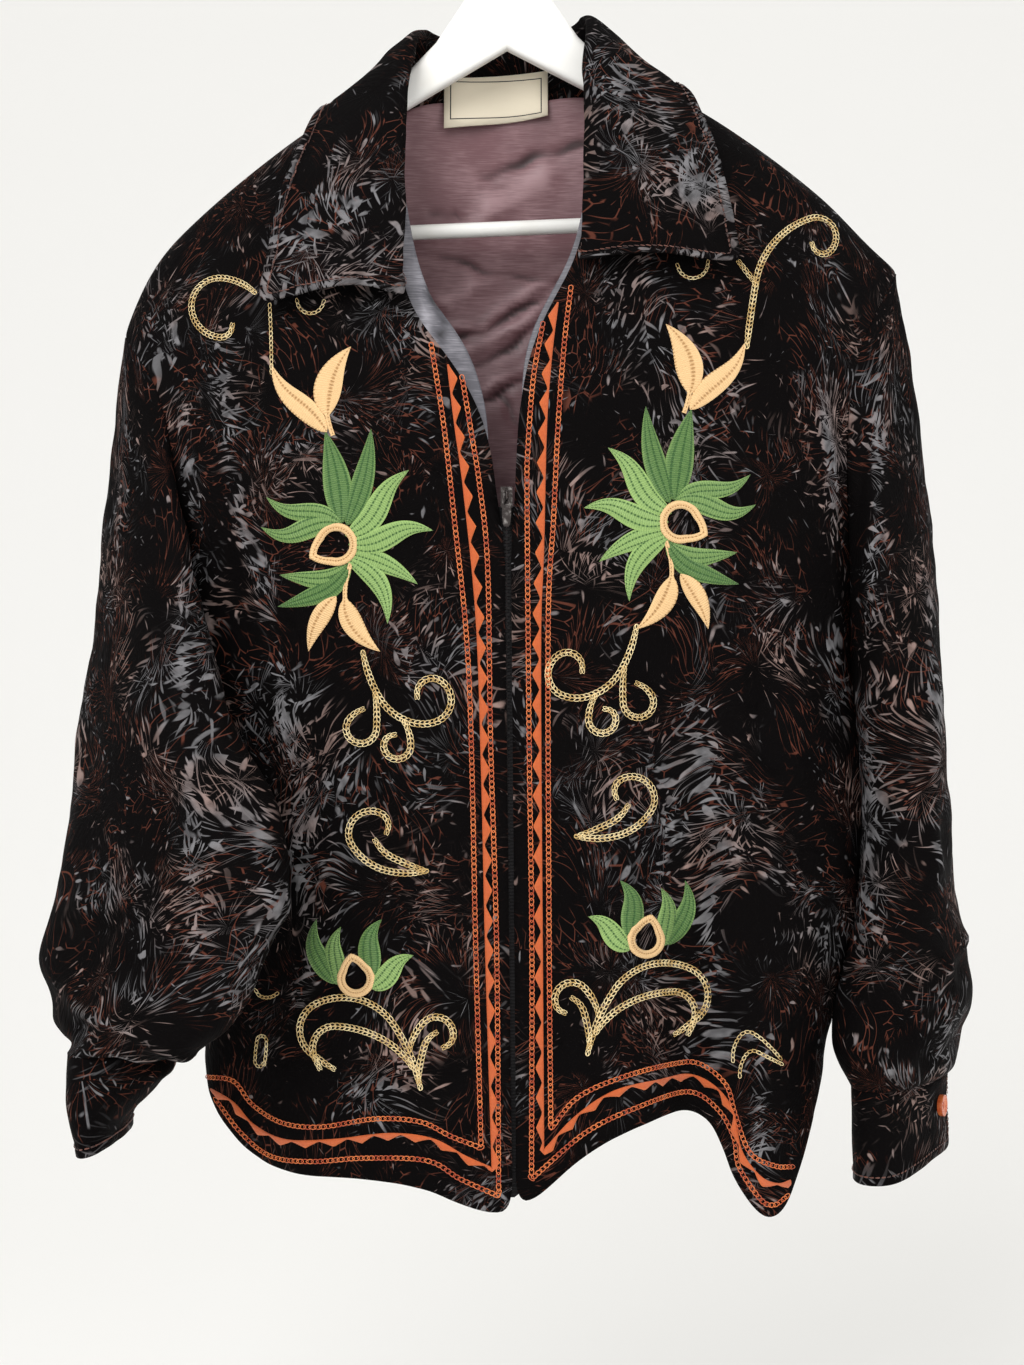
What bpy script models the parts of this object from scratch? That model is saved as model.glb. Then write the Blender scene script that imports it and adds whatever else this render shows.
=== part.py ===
"""Velvet zip-front shirt jacket hung on a flat white hanger. Metres, +Z up, front faces -Y."""
import math

import bmesh
import bpy
import numpy as np
from mathutils import Vector
from mathutils.bvhtree import BVHTree

for old in list(bpy.data.objects):
    bpy.data.objects.remove(old)

# driving sizes in millimetres; X to the viewer's right, Y away from the viewer, hook rest at 0
MM = 0.001
WALL = 2.0
HANGER_ROLL = 11.0
SEAM = 0.3
LEAN = math.tan(math.radians(2.4))
LEAN_FULL_Z = -260.0
LEAN_NONE_Z = -460.0
UNDERARM_Z = -508.0
FULLNESS = 2.6
ARM_ROWS = 10
LOW_ROWS = 13
FRONT_COLS = 13
NECK_COLS = 6
ZIP_HALF_GAP = 4.5
OWN_FRONT = 5
OWN_BACK = 9
ZIP_TOP_Z = -402.0

# shoulder seam seen from the front: distance from centre, height
SHOULDER = ((0, -70), (40, -96), (64, -116), (82, -133), (104, -148), (130, -164), (206, -225), (221, -243))
SHOULDER_END_Z = {"right": -262.0, "left": -282.0}
NECK_X = 64.0
NECK_Z = -116.0

# body cross sections: height, half width right, half width left, front depth, back depth
SECTIONS = (
    (-90, 246, 246, 30, 26),
    (-150, 246, 246, 44, 31),
    (-200, 246, 245, 56, 36),
    (-262, 242, 240, 68, 40),
    (-330, 235, 230, 78, 43),
    (-405, 225, 217, 84, 46),
    (-508, 208, 200, 84, 47),
    (-560, 203, 192, 84, 48),
    (-620, 198, 187, 83, 48),
    (-700, 191, 183, 81, 48),
    (-815, 186, 176, 78, 47),
)

# front rows above the underarm: neck edge height, share of the armhole, how far the shoulder is followed
ARM_TABLE = (
    (-116, 0.00, 1.00), (-119.5, 0.018, 0.98), (-138, 0.08, 0.90), (-168, 0.18, 0.76),
    (-200, 0.29, 0.58), (-235, 0.41, 0.42), (-262, 0.53, 0.28), (-290, 0.65, 0.16),
    (-318, 0.77, 0.07), (-355, 0.89, 0.02), (-405, 1.00, 0.00),
)

# armhole seam: share of its height, inset from the half width on the right, on the left
ARMHOLE = (
    (0, 0, 0), (0.09, 11, 11), (0.2, 24, 22), (0.35, 29, 24), (0.55, 23, 22), (0.8, 9, 11), (1, 0, 0),
)

# front edge from the neck down the open V to the zip: height, distance right, distance left
FRONT_EDGE = (
    (-116, 64, 64), (-140, 60, 64), (-185, 53, 66), (-225, 48, 66), (-255, 43, 64),
    (-285, 26, 57), (-315, 13, 34), (-350, 6.5, 12), (-405, 4.5, 4.5), (-830, 4.5, 4.5),
)

# front hem lines: distance from centre, height
HEM = {
    "right": ((4.5, -811), (31, -790), (66, -768), (108, -760), (127, -771), (138, -803),
              (151, -817), (164, -811), (173, -789), (182, -757), (189, -733)),
    "left": ((4.5, -813), (40, -800), (62, -797), (120, -797), (150, -790), (168, -768), (181, -742)),
}
HEM_SIDE_Z = {"right": -733.0, "left": -742.0}
BACK_HEM = ((0.0, -766), (0.5, -763), (0.8, -753), (1.0, 0))

# largest folds: panel, distance at top, distance at hem, start height, half breadth, depth at the hem
FOLDS = (
    ("right", 96, 110, -400, 17, 34),
    ("right", 150, 152, -470, 15, -9),
    ("right", 60, 62, -520, 18, -4),
    ("left", 150, 150, -430, 30, 16),
    ("left", 96, 92, -520, 16, 9),
    ("left", 55, 50, -560, 20, -4),
    ("back", -120, -126, -330, 24, -15),
    ("back", -52, -58, -420, 26, 9),
    ("back", 30, 26, -380, 22, -10),
    ("back", 112, 120, -340, 26, -16),
    ("back", 76, 74, -480, 20, 7),
)

# sleeve rings: height, centre x, centre y, half depth, half breadth, turn to the front, rise to the body
SLEEVE = {
    "right": (
        (-532, 241, -4, 82, 27, 7, 0.00),
        (-590, 245, -6, 82, 28, 9, 0.00),
        (-650, 246, -8, 78, 32, 14, 0.00),
        (-694, 245, -10, 72, 41, 20, 0.02),
        (-728, 241, -10, 67, 38, 25, 0.04),
        (-748, 241, -10, 60, 22, 29, 0.00),
    ),
    "left": (
        (-532, 208, -58, 78, 28, 38, 0.00),
        (-585, 192, -87, 80, 32, 54, 0.08),
        (-634, 191, -95, 78, 36, 62, 0.18),
        (-676, 201, -96, 75, 38, 58, 0.28),
        (-702, 216, -88, 63, 34, 34, 0.22),
        (-716, 233, -75, 46, 17, -6, 0.06),
    ),
}
SLEEVE_FALL_ROWS = 8
SLEEVE_LOW_ROWS = 12
SLEEVE_CAP = 6.0
SLEEVE_TWIST = {"right": 0.0, "left": 35.0}
CUFF_FALL = 55.0
CUFF_SHIFT = {"right": (1, 0), "left": (2, 2)}
CUFF_ROWS = 3
CUFF_SLIT = 5.0

# collar ribs from centre back to the point: roll x, y, z, outer edge x, y, z
COLLAR = {
    "right": (
        (0, 38, -97, 0, 56, -172), (17, 35, -96, 44, 55, -170), (34, 24, -94, 84, 38, -160),
        (43, 2, -94, 107, 0, -144), (43, -24, -134, 121, -26, -174), (44, -46, -184, 128, -46, -206),
        (43, -64, -226, 133, -58, -238), (43, -76, -264, 138, -70, -270),
    ),
    "left": (
        (0, 38, -97, 0, 56, -172), (19, 35, -97, 46, 55, -170), (38, 24, -96, 88, 38, -161),
        (48, 2, -97, 112, 0, -148), (57, -24, -136, 126, -26, -178), (60, -46, -186, 135, -46, -212),
        (58, -64, -232, 141, -58, -248), (59, -76, -281, 146, -70, -283),
    ),
}
COLLAR_END_BOW = {"right": 6.0, "left": 10.0}
COLLAR_SEAM_X = (0, 24, 48, 64)
COLLAR_SEAM_Z = (-140, -184, -222, -256)
COLLAR_RIBS = (0, 0.5, 1, 1.5, 2, 2.4, 2.7, 2.9, 3.1, 3.3, 3.6, 4, 4.5, 5, 5.5, 6, 6.5, 7)

# back neck seam: distance from centre, y, height
BACK_NECK = ((0, 30, -139), (20, 29, -138), (40, 23, -132), (56, 11, -122), (64, 0, -116))

FACING_SHOW = {"right": 4.0, "left": 14.0}
FACING_BROAD = 34.0
LINING_GAP = 1.2
LINING_WALL = 1.2
LINING_EASE = 10.0
LINING_COLS = 16
LINING_ROWS = 12
TAPE_WALL = 1.0
LABEL_SIZE = (65.0, 33.0)
LABEL_MID_X = -7.0

HANGER_HALF = 5.5
HANGER_DROP = 6.0
HANGER_BEVEL = 3.8
HANGER_END = 201.0
HANGER_APEX_Z = -115.0
HANGER_SLOPE = 0.554
BAR_RADIUS = 4.6
BAR_Z = -225.5
BAR_HALF = 167.7
HOOK_RADIUS = 22.0
HOOK_WIRE = 2.0
BUTTON_RADIUS = 6.5
BUTTON_THICK = 3.2
BUTTON_LIFT = 0.5

SIDES = {"right": 1.0, "left": -1.0}
PART = bpy.data.collections.new("velvet_jacket_on_hanger")
CUTTERS = bpy.data.collections.new("cutters")
bpy.context.scene.collection.children.link(PART)
bpy.context.scene.collection.children.link(CUTTERS)
MATERIALS = {}


def curve(table, at, column=1):
    """Smooth curve through a table's rows that never overshoots them."""
    rows = sorted((float(row[0]), float(row[column])) for row in table)
    xs = np.array([row[0] for row in rows])
    ys = np.array([row[1] for row in rows])
    step = np.diff(ys) / np.diff(xs)
    slope = np.zeros(len(xs))
    for i in range(1, len(xs) - 1):
        if step[i - 1] * step[i] > 0:
            slope[i] = 2 * step[i - 1] * step[i] / (step[i - 1] + step[i])
    slope[0] = step[0]
    slope[-1] = step[-1]
    at = min(max(at, xs[0]), xs[-1])
    i = min(int(np.searchsorted(xs, at, side="right")) - 1, len(xs) - 2)
    h = xs[i + 1] - xs[i]
    t = (at - xs[i]) / h
    return ((2 * t**3 - 3 * t**2 + 1) * ys[i] + (t**3 - 2 * t**2 + t) * h * slope[i]
            + (3 * t**2 - 2 * t**3) * ys[i + 1] + (t**3 - t**2) * h * slope[i + 1])


def smooth(t):
    """Ease from 0 to 1."""
    t = min(max(t, 0.0), 1.0)
    return t * t * (3 - 2 * t)


def mix(a, b, t):
    """Point between two values."""
    return a + (b - a) * t


def lean_z(x, z):
    """Lift of the tilted hanger at a place, fading out below the armholes."""
    return x * LEAN * smooth((z - LEAN_NONE_Z) / (LEAN_FULL_Z - LEAN_NONE_Z))


def place(x, y, z):
    """Point with the hanger's tilt added."""
    return np.array((x, y, z + lean_z(x, z)))


def half_width(side, z):
    """Body half width at a height."""
    return curve(SECTIONS, z, 1 if side == "right" else 2)


def shoulder_z(side, x):
    """Height of the shoulder seam at a distance from the centre."""
    end_z = SHOULDER_END_Z[side]
    return curve(SHOULDER + ((half_width(side, end_z), end_z),), x)


def over_hanger(full, inside, below):
    """How far the cloth stands off below the shoulder: first a roll over the board, then a slope."""
    roll = HANGER_ROLL * inside ** 0.3
    slope = full * inside ** (1 / FULLNESS) - roll
    return roll * (1 - math.exp(-below / 3.0)) + slope * (1 - math.exp(-below / 62.0))


def depth(side, x, z, face):
    """Front or back surface of the body at a place, rounded over the hanger at the top."""
    width = half_width(side, z)
    full = curve(SECTIONS, z, 3 if face == "front" else 4)
    inside = max(0.0, 1.0 - min(1.0, abs(x) / width) ** FULLNESS)
    below = max(0.0, shoulder_z(side, min(abs(x), 246.0)) - z)
    return (-1 if face == "front" else 1) * over_hanger(full, inside, below)


def fold(panel, x, z, hem_z):
    """Sum of the large folds of a panel at a place."""
    total = 0.0
    for name, top_x, hem_x, start_z, half, amount in FOLDS:
        if name == panel and z < start_z:
            down = min(1.0, (start_z - z) / (start_z - hem_z))
            offset = (x - mix(top_x, hem_x, down)) / half
            total += amount * smooth(down) ** 0.8 * math.exp(-offset * offset)
    return total


def quarter(t):
    """Share of the half width reached along a rounded quarter."""
    return math.sin(math.pi * t / 2) ** (2 / FULLNESS)


def armhole_point(side, share, face):
    """Point of the armhole seam."""
    z = mix(SHOULDER_END_Z[side], UNDERARM_Z, share)
    x = half_width(side, z) - curve(ARMHOLE, share, 1 if side == "right" else 2)
    return x, depth(side, x, z, face) if 0 < share < 1 else 0.0, z


def front_grid(side):
    """Outer skin of a front: rows from shoulder to hem, columns from front edge to side seam."""
    sign = SIDES[side]
    edge_column = 1 if side == "right" else 2
    end_z = SHOULDER_END_Z[side]
    end_x = half_width(side, end_z)
    flat = []
    for k, (edge_z, share, follow) in enumerate(ARM_TABLE):
        edge_x = curve(FRONT_EDGE, edge_z, edge_column)
        out_x, _, out_z = armhole_point(side, share, "front")
        row = []
        for j in range(FRONT_COLS + 1):
            t = j / FRONT_COLS
            g = mix(t, quarter(t), smooth(k / ARM_ROWS))
            chord = mix(NECK_Z, end_z, g)
            lift = follow * (shoulder_z(side, mix(NECK_X, end_x, g)) - chord)
            row.append((mix(edge_x, out_x, g), mix(edge_z, out_z, g) + lift))
        flat.append(row)
    under = flat[-1]
    hem_x = [mix(ZIP_HALF_GAP, half_width(side, HEM_SIDE_Z[side]), quarter(j / FRONT_COLS))
             for j in range(FRONT_COLS + 1)]
    hem_z = [curve(HEM[side], x) for x in hem_x]
    for low in range(1, LOW_ROWS + 1):
        w = low / LOW_ROWS
        side_x = half_width(side, mix(UNDERARM_Z, HEM_SIDE_Z[side], w))
        row = []
        for j in range(FRONT_COLS + 1):
            x = mix(ZIP_HALF_GAP, side_x, quarter(j / FRONT_COLS))
            row.append((x, mix(under[j][1], hem_z[j], w)))
        flat.append(row)
    grid = np.zeros((len(flat), FRONT_COLS + 1, 3))
    for k, row in enumerate(flat):
        for j, (x, z) in enumerate(row):
            y = depth(side, x, z, "front")
            if k == 0 or (j == FRONT_COLS and k >= ARM_ROWS):
                y = 0.0
            hold = (1 - (j / FRONT_COLS) ** 5) * (1 - math.exp(-((x - ZIP_HALF_GAP) / 26) ** 2))
            y += hold * fold(side, x, z, hem_z[j])
            grid[k, j] = place(sign * x, y, z)
    return grid


def back_grid(fronts):
    """Outer skin of the back, its shoulder and side edges shared with the fronts."""
    cols = 2 * FRONT_COLS + NECK_COLS
    half = cols / 2
    rows = ARM_ROWS + LOW_ROWS
    grid = np.zeros((rows + 1, cols + 1, 3))
    for c in range(cols + 1):
        t = (c - half) / half
        side = "right" if t >= 0 else "left"
        sign = SIDES[side]
        from_edge = min(c, cols - c)
        if from_edge <= FRONT_COLS:
            top = fronts[side][0, FRONT_COLS - from_edge]
            top_x = abs(top[0])
            top_y = top[1]
            top_z = shoulder_z(side, top_x)
        else:
            top_x = NECK_X * abs(c - half) / (NECK_COLS / 2)
            top_y = curve(BACK_NECK, top_x, 1)
            top_z = curve(BACK_NECK, top_x, 2)
        low_x = half_width(side, UNDERARM_Z) * quarter(abs(t))
        side_hem = HEM_SIDE_Z[side]
        hem_z = curve(BACK_HEM[:-1] + ((1.0, side_hem),), quarter(abs(t)))
        for k in range(rows + 1):
            if k <= ARM_ROWS:
                share = ARM_TABLE[k][1]
                edge_x = armhole_point(side, share, "back")[0]
                edge_flat = mix(half_width(side, SHOULDER_END_Z[side]), half_width(side, UNDERARM_Z), share)
                x = mix(top_x, low_x, share) + (edge_x - edge_flat) * abs(t) ** 3
                z = mix(top_z, UNDERARM_Z, share)
                inside = max(0.0, 1.0 - min(1.0, x / half_width(side, z)) ** FULLNESS)
                full = curve(SECTIONS, z, 4)
                hung = mix(top_y, full * inside ** (1 / FULLNESS), 1 - math.exp((z - top_z) / 62.0))
                y = max(hung, over_hanger(full, inside, top_z - z))
            else:
                w = (k - ARM_ROWS) / LOW_ROWS
                x = half_width(side, mix(UNDERARM_Z, side_hem, w)) * quarter(abs(t))
                z = mix(UNDERARM_Z, hem_z, w)
                y = depth(side, x, z, "back")
            y -= (1 - abs(t) ** 5) * fold("back", sign * x, z, hem_z)
            grid[k, c] = place(sign * x, y, z)
    for side, column in (("left", 0), ("right", cols)):
        for k in range(ARM_ROWS + 1):
            x, y, z = armhole_point(side, ARM_TABLE[k][1], "back")
            grid[k, column] = place(SIDES[side] * x, y, z)
        grid[ARM_ROWS:, column] = fronts[side][ARM_ROWS:, FRONT_COLS]
        shoulder = fronts[side][0]
        if side == "left":
            grid[0, :FRONT_COLS + 1] = shoulder[::-1]
        else:
            grid[0, cols - FRONT_COLS:] = shoulder
    return grid


def ring(side, row, angles):
    """Flattened ring of a hanging sleeve."""
    z, cx, cy, half_depth, half_breadth, turn, rise = row
    sign = SIDES[side]
    turn = math.radians(turn)
    points = []
    for angle in angles:
        c, s = math.cos(angle), math.sin(angle)
        out = half_breadth * math.copysign(abs(c) ** 0.9, c)
        fore = half_depth * math.copysign(abs(s) ** 0.9, s)
        x = out * math.cos(turn) - fore * math.sin(turn)
        y = -out * math.sin(turn) - fore * math.cos(turn)
        points.append((sign * (cx + x), cy + y, z - rise * x))
    return np.array(points)


def sleeve_grids(side, front, back):
    """Outer skins of a sleeve and its cuff as closed rings, the first ring being the armhole."""
    edge = 0 if side == "left" else back.shape[1] - 1
    fore = front[:ARM_ROWS + 1, FRONT_COLS]
    rear = back[1:ARM_ROWS, edge][::-1]
    hole = np.vstack((fore, rear))
    count = len(hole)
    plain = [2 * math.pi * i / count for i in range(count)]
    angles = [a + math.radians(SLEEVE_TWIST[side]) * (1 - math.cos(a)) / 2 for a in plain]
    table = SLEEVE[side]
    first = ring(side, table[0], angles)
    rows = [hole]
    for i in range(1, SLEEVE_FALL_ROWS + 1):
        w = i / SLEEVE_FALL_ROWS
        points = hole + (first - hole) * w
        puff = SLEEVE_CAP * math.sin(math.pi * w)
        points[:, 0] += [SIDES[side] * puff * max(0.0, math.cos(a)) for a in plain]
        points[:, 1] -= [puff * max(0.0, math.sin(a)) for a in plain]
        rows.append(points)
    order = [(i,) + row for i, row in enumerate(table)]
    for i in range(1, SLEEVE_LOW_ROWS + 1):
        at = (len(table) - 1) * i / SLEEVE_LOW_ROWS
        rows.append(ring(side, [curve(order, at, column) for column in range(1, 8)], angles))
    last = list(table[-1])
    cuff = []
    for i in range(CUFF_ROWS + 1):
        w = i / CUFF_ROWS
        row = list(last)
        row[0] -= CUFF_FALL * w
        row[1] += CUFF_SHIFT[side][0] * w
        row[2] += CUFF_SHIFT[side][1] * w
        row[6] *= 1 - w
        cuff.append(ring(side, row, angles))
    return np.array(rows), np.array(cuff)


def key(point):
    """Rounded place used to find points shared by neighbouring pieces."""
    return tuple(np.round(point, 2))


def close_ring(grid):
    """Ring rows with their first point repeated at the end."""
    return np.concatenate((grid, grid[:, :1]), axis=1)


def skin_normals(grids):
    """Outward normals at every point, averaged over pieces that meet at seams."""
    total = {}
    for grid, outward in grids:
        for i in range(grid.shape[0] - 1):
            for j in range(grid.shape[1] - 1):
                a, b, c, d = grid[i, j], grid[i, j + 1], grid[i + 1, j + 1], grid[i + 1, j]
                normal = np.cross(c - a, d - b) * outward
                length = np.linalg.norm(normal)
                if length > 1e-9:
                    for corner in (a, b, c, d):
                        total[key(corner)] = total.get(key(corner), 0) + normal / length
    return {at: value / max(1e-6, np.linalg.norm(value)) for at, value in total.items()}


def inner_grid(grid, normals, wall):
    """The same skin moved in by the cloth's thickness."""
    moved = np.array(grid)
    for i in range(grid.shape[0]):
        for j in range(grid.shape[1]):
            moved[i, j] = grid[i, j] - wall * normals[key(grid[i, j])]
    return moved


def sheet(name, grid, outward, gap, wall, mat):
    """Free sheet set in from its guiding grid by a gap, with its own thickness."""
    normals = skin_normals(((grid, outward),))
    return shell(name, inner_grid(grid, normals, gap), inner_grid(grid, normals, gap + wall), mat)


def material(name, colour, rough, metal=0.0):
    """Plain Principled material of one piece."""
    made = bpy.data.materials.new(name)
    made.use_nodes = True
    shader = made.node_tree.nodes["Principled BSDF"]
    shader.inputs["Base Color"].default_value = (*colour, 1.0)
    shader.inputs["Roughness"].default_value = rough
    shader.inputs["Metallic"].default_value = metal
    MATERIALS[name] = made
    return made


def add_object(name, mesh, mat):
    """Put a finished mesh in the part's collection."""
    mesh.materials.clear()
    mesh.materials.append(MATERIALS[mat])
    made = bpy.data.objects.new(name, mesh)
    PART.objects.link(made)
    return made


def shell(name, outer, inner, mat, closed=False):
    """Cloth piece lofted between its outer and inner skins, with its edges closed."""
    rows, cols = outer.shape[:2]
    bm = bmesh.new()
    out = [[bm.verts.new(outer[i, j] * MM) for j in range(cols)] for i in range(rows)]
    ins = [[bm.verts.new(inner[i, j] * MM) for j in range(cols)] for i in range(rows)]
    span = cols if closed else cols - 1
    for i in range(rows - 1):
        for j in range(span):
            n = (j + 1) % cols
            bm.faces.new((out[i][j], out[i][n], out[i + 1][n], out[i + 1][j]))
            bm.faces.new((ins[i][j], ins[i + 1][j], ins[i + 1][n], ins[i][n]))
    for j in range(span):
        n = (j + 1) % cols
        bm.faces.new((out[0][j], ins[0][j], ins[0][n], out[0][n]))
        bm.faces.new((out[-1][j], out[-1][n], ins[-1][n], ins[-1][j]))
    if not closed:
        for i in range(rows - 1):
            bm.faces.new((out[i][0], out[i + 1][0], ins[i + 1][0], ins[i][0]))
            bm.faces.new((out[i][-1], ins[i][-1], ins[i + 1][-1], out[i + 1][-1]))
    bmesh.ops.triangulate(bm, faces=bm.faces[:])
    bmesh.ops.recalc_face_normals(bm, faces=bm.faces[:])
    mesh = bpy.data.meshes.new(name)
    bm.to_mesh(mesh)
    bm.free()
    return add_object(name, mesh, mat)


def pull_back(outer, inner, edges):
    """Move seam edges back from their neighbour by half the seam gap."""
    moves = np.zeros_like(outer)
    half = SEAM / 2
    for edge in edges:
        if edge == "top":
            step = outer[1] - outer[0]
            moves[0] += half * step / np.linalg.norm(step, axis=1, keepdims=True)
        if edge == "bottom":
            step = outer[-2] - outer[-1]
            moves[-1] += half * step / np.linalg.norm(step, axis=1, keepdims=True)
        if edge == "start":
            step = outer[:, 1] - outer[:, 0]
            moves[:, 0] += half * step / np.linalg.norm(step, axis=1, keepdims=True)
        if edge == "end":
            step = outer[:, -2] - outer[:, -1]
            moves[:, -1] += half * step / np.linalg.norm(step, axis=1, keepdims=True)
    return outer + moves, inner + moves


def along(line, distance):
    """Point at a distance along a line of points."""
    for a, b in zip(line[:-1], line[1:]):
        length = np.linalg.norm(b - a)
        if distance <= length:
            return a + (b - a) * distance / length
        distance -= length
    return np.array(line[-1])


def line_length(line):
    """Length of a line of points."""
    return sum(np.linalg.norm(b - a) for a, b in zip(line[:-1], line[1:]))


def body_tree(grids):
    """Search tree over the body's outer skins."""
    verts, faces = [], []
    for grid, outward in grids:
        rows, cols = grid.shape[:2]
        base = len(verts)
        verts.extend(Vector(p) for p in grid.reshape(-1, 3))
        for i in range(rows - 1):
            for j in range(cols - 1):
                a = base + i * cols + j
                quad = (a, a + 1, a + cols + 1, a + cols)
                faces.append(quad if outward > 0 else quad[::-1])
    return BVHTree.FromPolygons(verts, faces)


def settle(tree, point, gap):
    """Point moved out so that it clears the body by a gap."""
    near, normal, _, _ = tree.find_nearest(Vector(point))
    off = (Vector(point) - near).dot(normal)
    if off < gap:
        point = np.array(Vector(point) + normal * (gap - off))
    return np.array(point)


def extruded(name, outline, half_y, mat):
    """Flat piece cut from an outline in X and Z and given thickness along Y."""
    flat = bpy.data.curves.new(name, "CURVE")
    flat.dimensions = "2D"
    flat.fill_mode = "BOTH"
    flat.extrude = half_y * MM
    for loop in outline:
        spline = flat.splines.new("POLY")
        spline.points.add(len(loop) - 1)
        for point, (x, z) in zip(spline.points, loop):
            point.co = (x * MM, z * MM, 0, 1)
        spline.use_cyclic_u = True
    made = bpy.data.objects.new(name, flat)
    PART.objects.link(made)
    mesh = mesh_of(made)
    bm = bmesh.new()
    bm.from_mesh(mesh)
    for vert in bm.verts:
        vert.co = (vert.co.x, -vert.co.z, vert.co.y)
    bmesh.ops.remove_doubles(bm, verts=bm.verts[:], dist=1e-6)
    bmesh.ops.recalc_face_normals(bm, faces=bm.faces[:])
    bm.to_mesh(mesh)
    bm.free()
    bpy.data.objects.remove(made)
    return add_object(name, mesh, mat)


def mesh_of(made):
    """Evaluated mesh of an object with its modifiers applied."""
    graph = bpy.context.evaluated_depsgraph_get()
    return bpy.data.meshes.new_from_object(made.evaluated_get(graph))


def bake(made):
    """Replace an object's mesh by its evaluated one."""
    mesh = mesh_of(made)
    mesh.materials.clear()
    mesh.materials.append(made.data.materials[0])
    made.modifiers.clear()
    made.data = mesh
    return made


def wire(name, path, radius, sides, mat):
    """Round wire along a path of points."""
    line = bpy.data.curves.new(name, "CURVE")
    line.dimensions = "3D"
    line.bevel_depth = radius * MM
    line.bevel_resolution = sides
    line.use_fill_caps = True
    spline = line.splines.new("POLY")
    spline.points.add(len(path) - 1)
    for point, place_at in zip(spline.points, path):
        point.co = (*(np.array(place_at) * MM), 1)
    made = bpy.data.objects.new(name, line)
    PART.objects.link(made)
    mesh = mesh_of(made)
    bm = bmesh.new()
    bm.from_mesh(mesh)
    bmesh.ops.remove_doubles(bm, verts=bm.verts[:], dist=1e-7)
    bmesh.ops.recalc_face_normals(bm, faces=bm.faces[:])
    bm.to_mesh(mesh)
    bm.free()
    bpy.data.objects.remove(made)
    return add_object(name, mesh, mat)


def turned(name, profile, steps, mat):
    """Round piece turned from a profile of radius and height about Z."""
    mesh = bpy.data.meshes.new(name)
    verts = [(r * MM, 0, h * MM) for r, h in profile]
    mesh.from_pydata(verts, [(i, i + 1) for i in range(len(verts) - 1)], [])
    made = add_object(name, mesh, mat)
    screw = made.modifiers.new("turn", "SCREW")
    screw.angle = 2 * math.pi
    screw.steps = steps
    screw.render_steps = steps
    screw.axis = "Z"
    screw.use_merge_vertices = True
    screw.merge_threshold = 1e-5
    bake(made)
    bm = bmesh.new()
    bm.from_mesh(made.data)
    bmesh.ops.remove_doubles(bm, verts=bm.verts[:], dist=1e-6)
    bmesh.ops.recalc_face_normals(bm, faces=bm.faces[:])
    bm.to_mesh(made.data)
    bm.free()
    return made


material("velvet", (0.015, 0.012, 0.013), 0.7)
material("lining_satin", (0.16, 0.09, 0.10), 0.45)
material("facing_satin", (0.15, 0.15, 0.17), 0.4)
material("zip_tape", (0.02, 0.02, 0.022), 0.8)
material("zip_metal", (0.25, 0.25, 0.26), 0.3, 1.0)
material("button_orange", (0.62, 0.2, 0.06), 0.35)
material("label_cream", (0.8, 0.74, 0.6), 0.7)
material("hanger_white", (0.85, 0.84, 0.8), 0.4)
material("hook_steel", (0.6, 0.6, 0.6), 0.25, 1.0)

# body skins: two fronts and a back that meet at the shoulder and side seams
FRONTS = {side: front_grid(side) for side in SIDES}
BACK = back_grid(FRONTS)
SLEEVES = {side: sleeve_grids(side, FRONTS[side], BACK) for side in SIDES}
OUTWARD = {"right": -1.0, "left": 1.0, "back": 1.0}
SKINS = [(FRONTS["right"], OUTWARD["right"]), (FRONTS["left"], OUTWARD["left"]), (BACK, OUTWARD["back"])]
for side_name, (sleeve, cuff) in SLEEVES.items():
    SKINS.append((close_ring(sleeve), OUTWARD[side_name] * -1))
    SKINS.append((close_ring(cuff), OUTWARD[side_name] * -1))
NORMALS = skin_normals(SKINS)
BODY_NORMALS = dict(NORMALS)
ARM_NORMALS = dict(NORMALS)
body_own = skin_normals(SKINS[:3])
arm_own = skin_normals(SKINS[3:])
for side_name, (sleeve, cuff) in SLEEVES.items():
    for point in sleeve[0, OWN_FRONT:2 * ARM_ROWS - OWN_BACK + 1]:
        BODY_NORMALS[key(point)] = body_own[key(point)]
        ARM_NORMALS[key(point)] = arm_own[key(point)]

INNER = {}
for side_name in SIDES:
    skin = FRONTS[side_name]
    INNER[side_name] = inner_grid(skin, BODY_NORMALS, WALL)
    shell("front_" + side_name, *pull_back(skin, INNER[side_name], ("top", "end")), "velvet")
INNER["back"] = inner_grid(BACK, BODY_NORMALS, WALL)
moved_outer, moved_inner = pull_back(BACK, INNER["back"], ("top", "start", "end"))
shell("back", moved_outer, moved_inner, "velvet")

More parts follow.
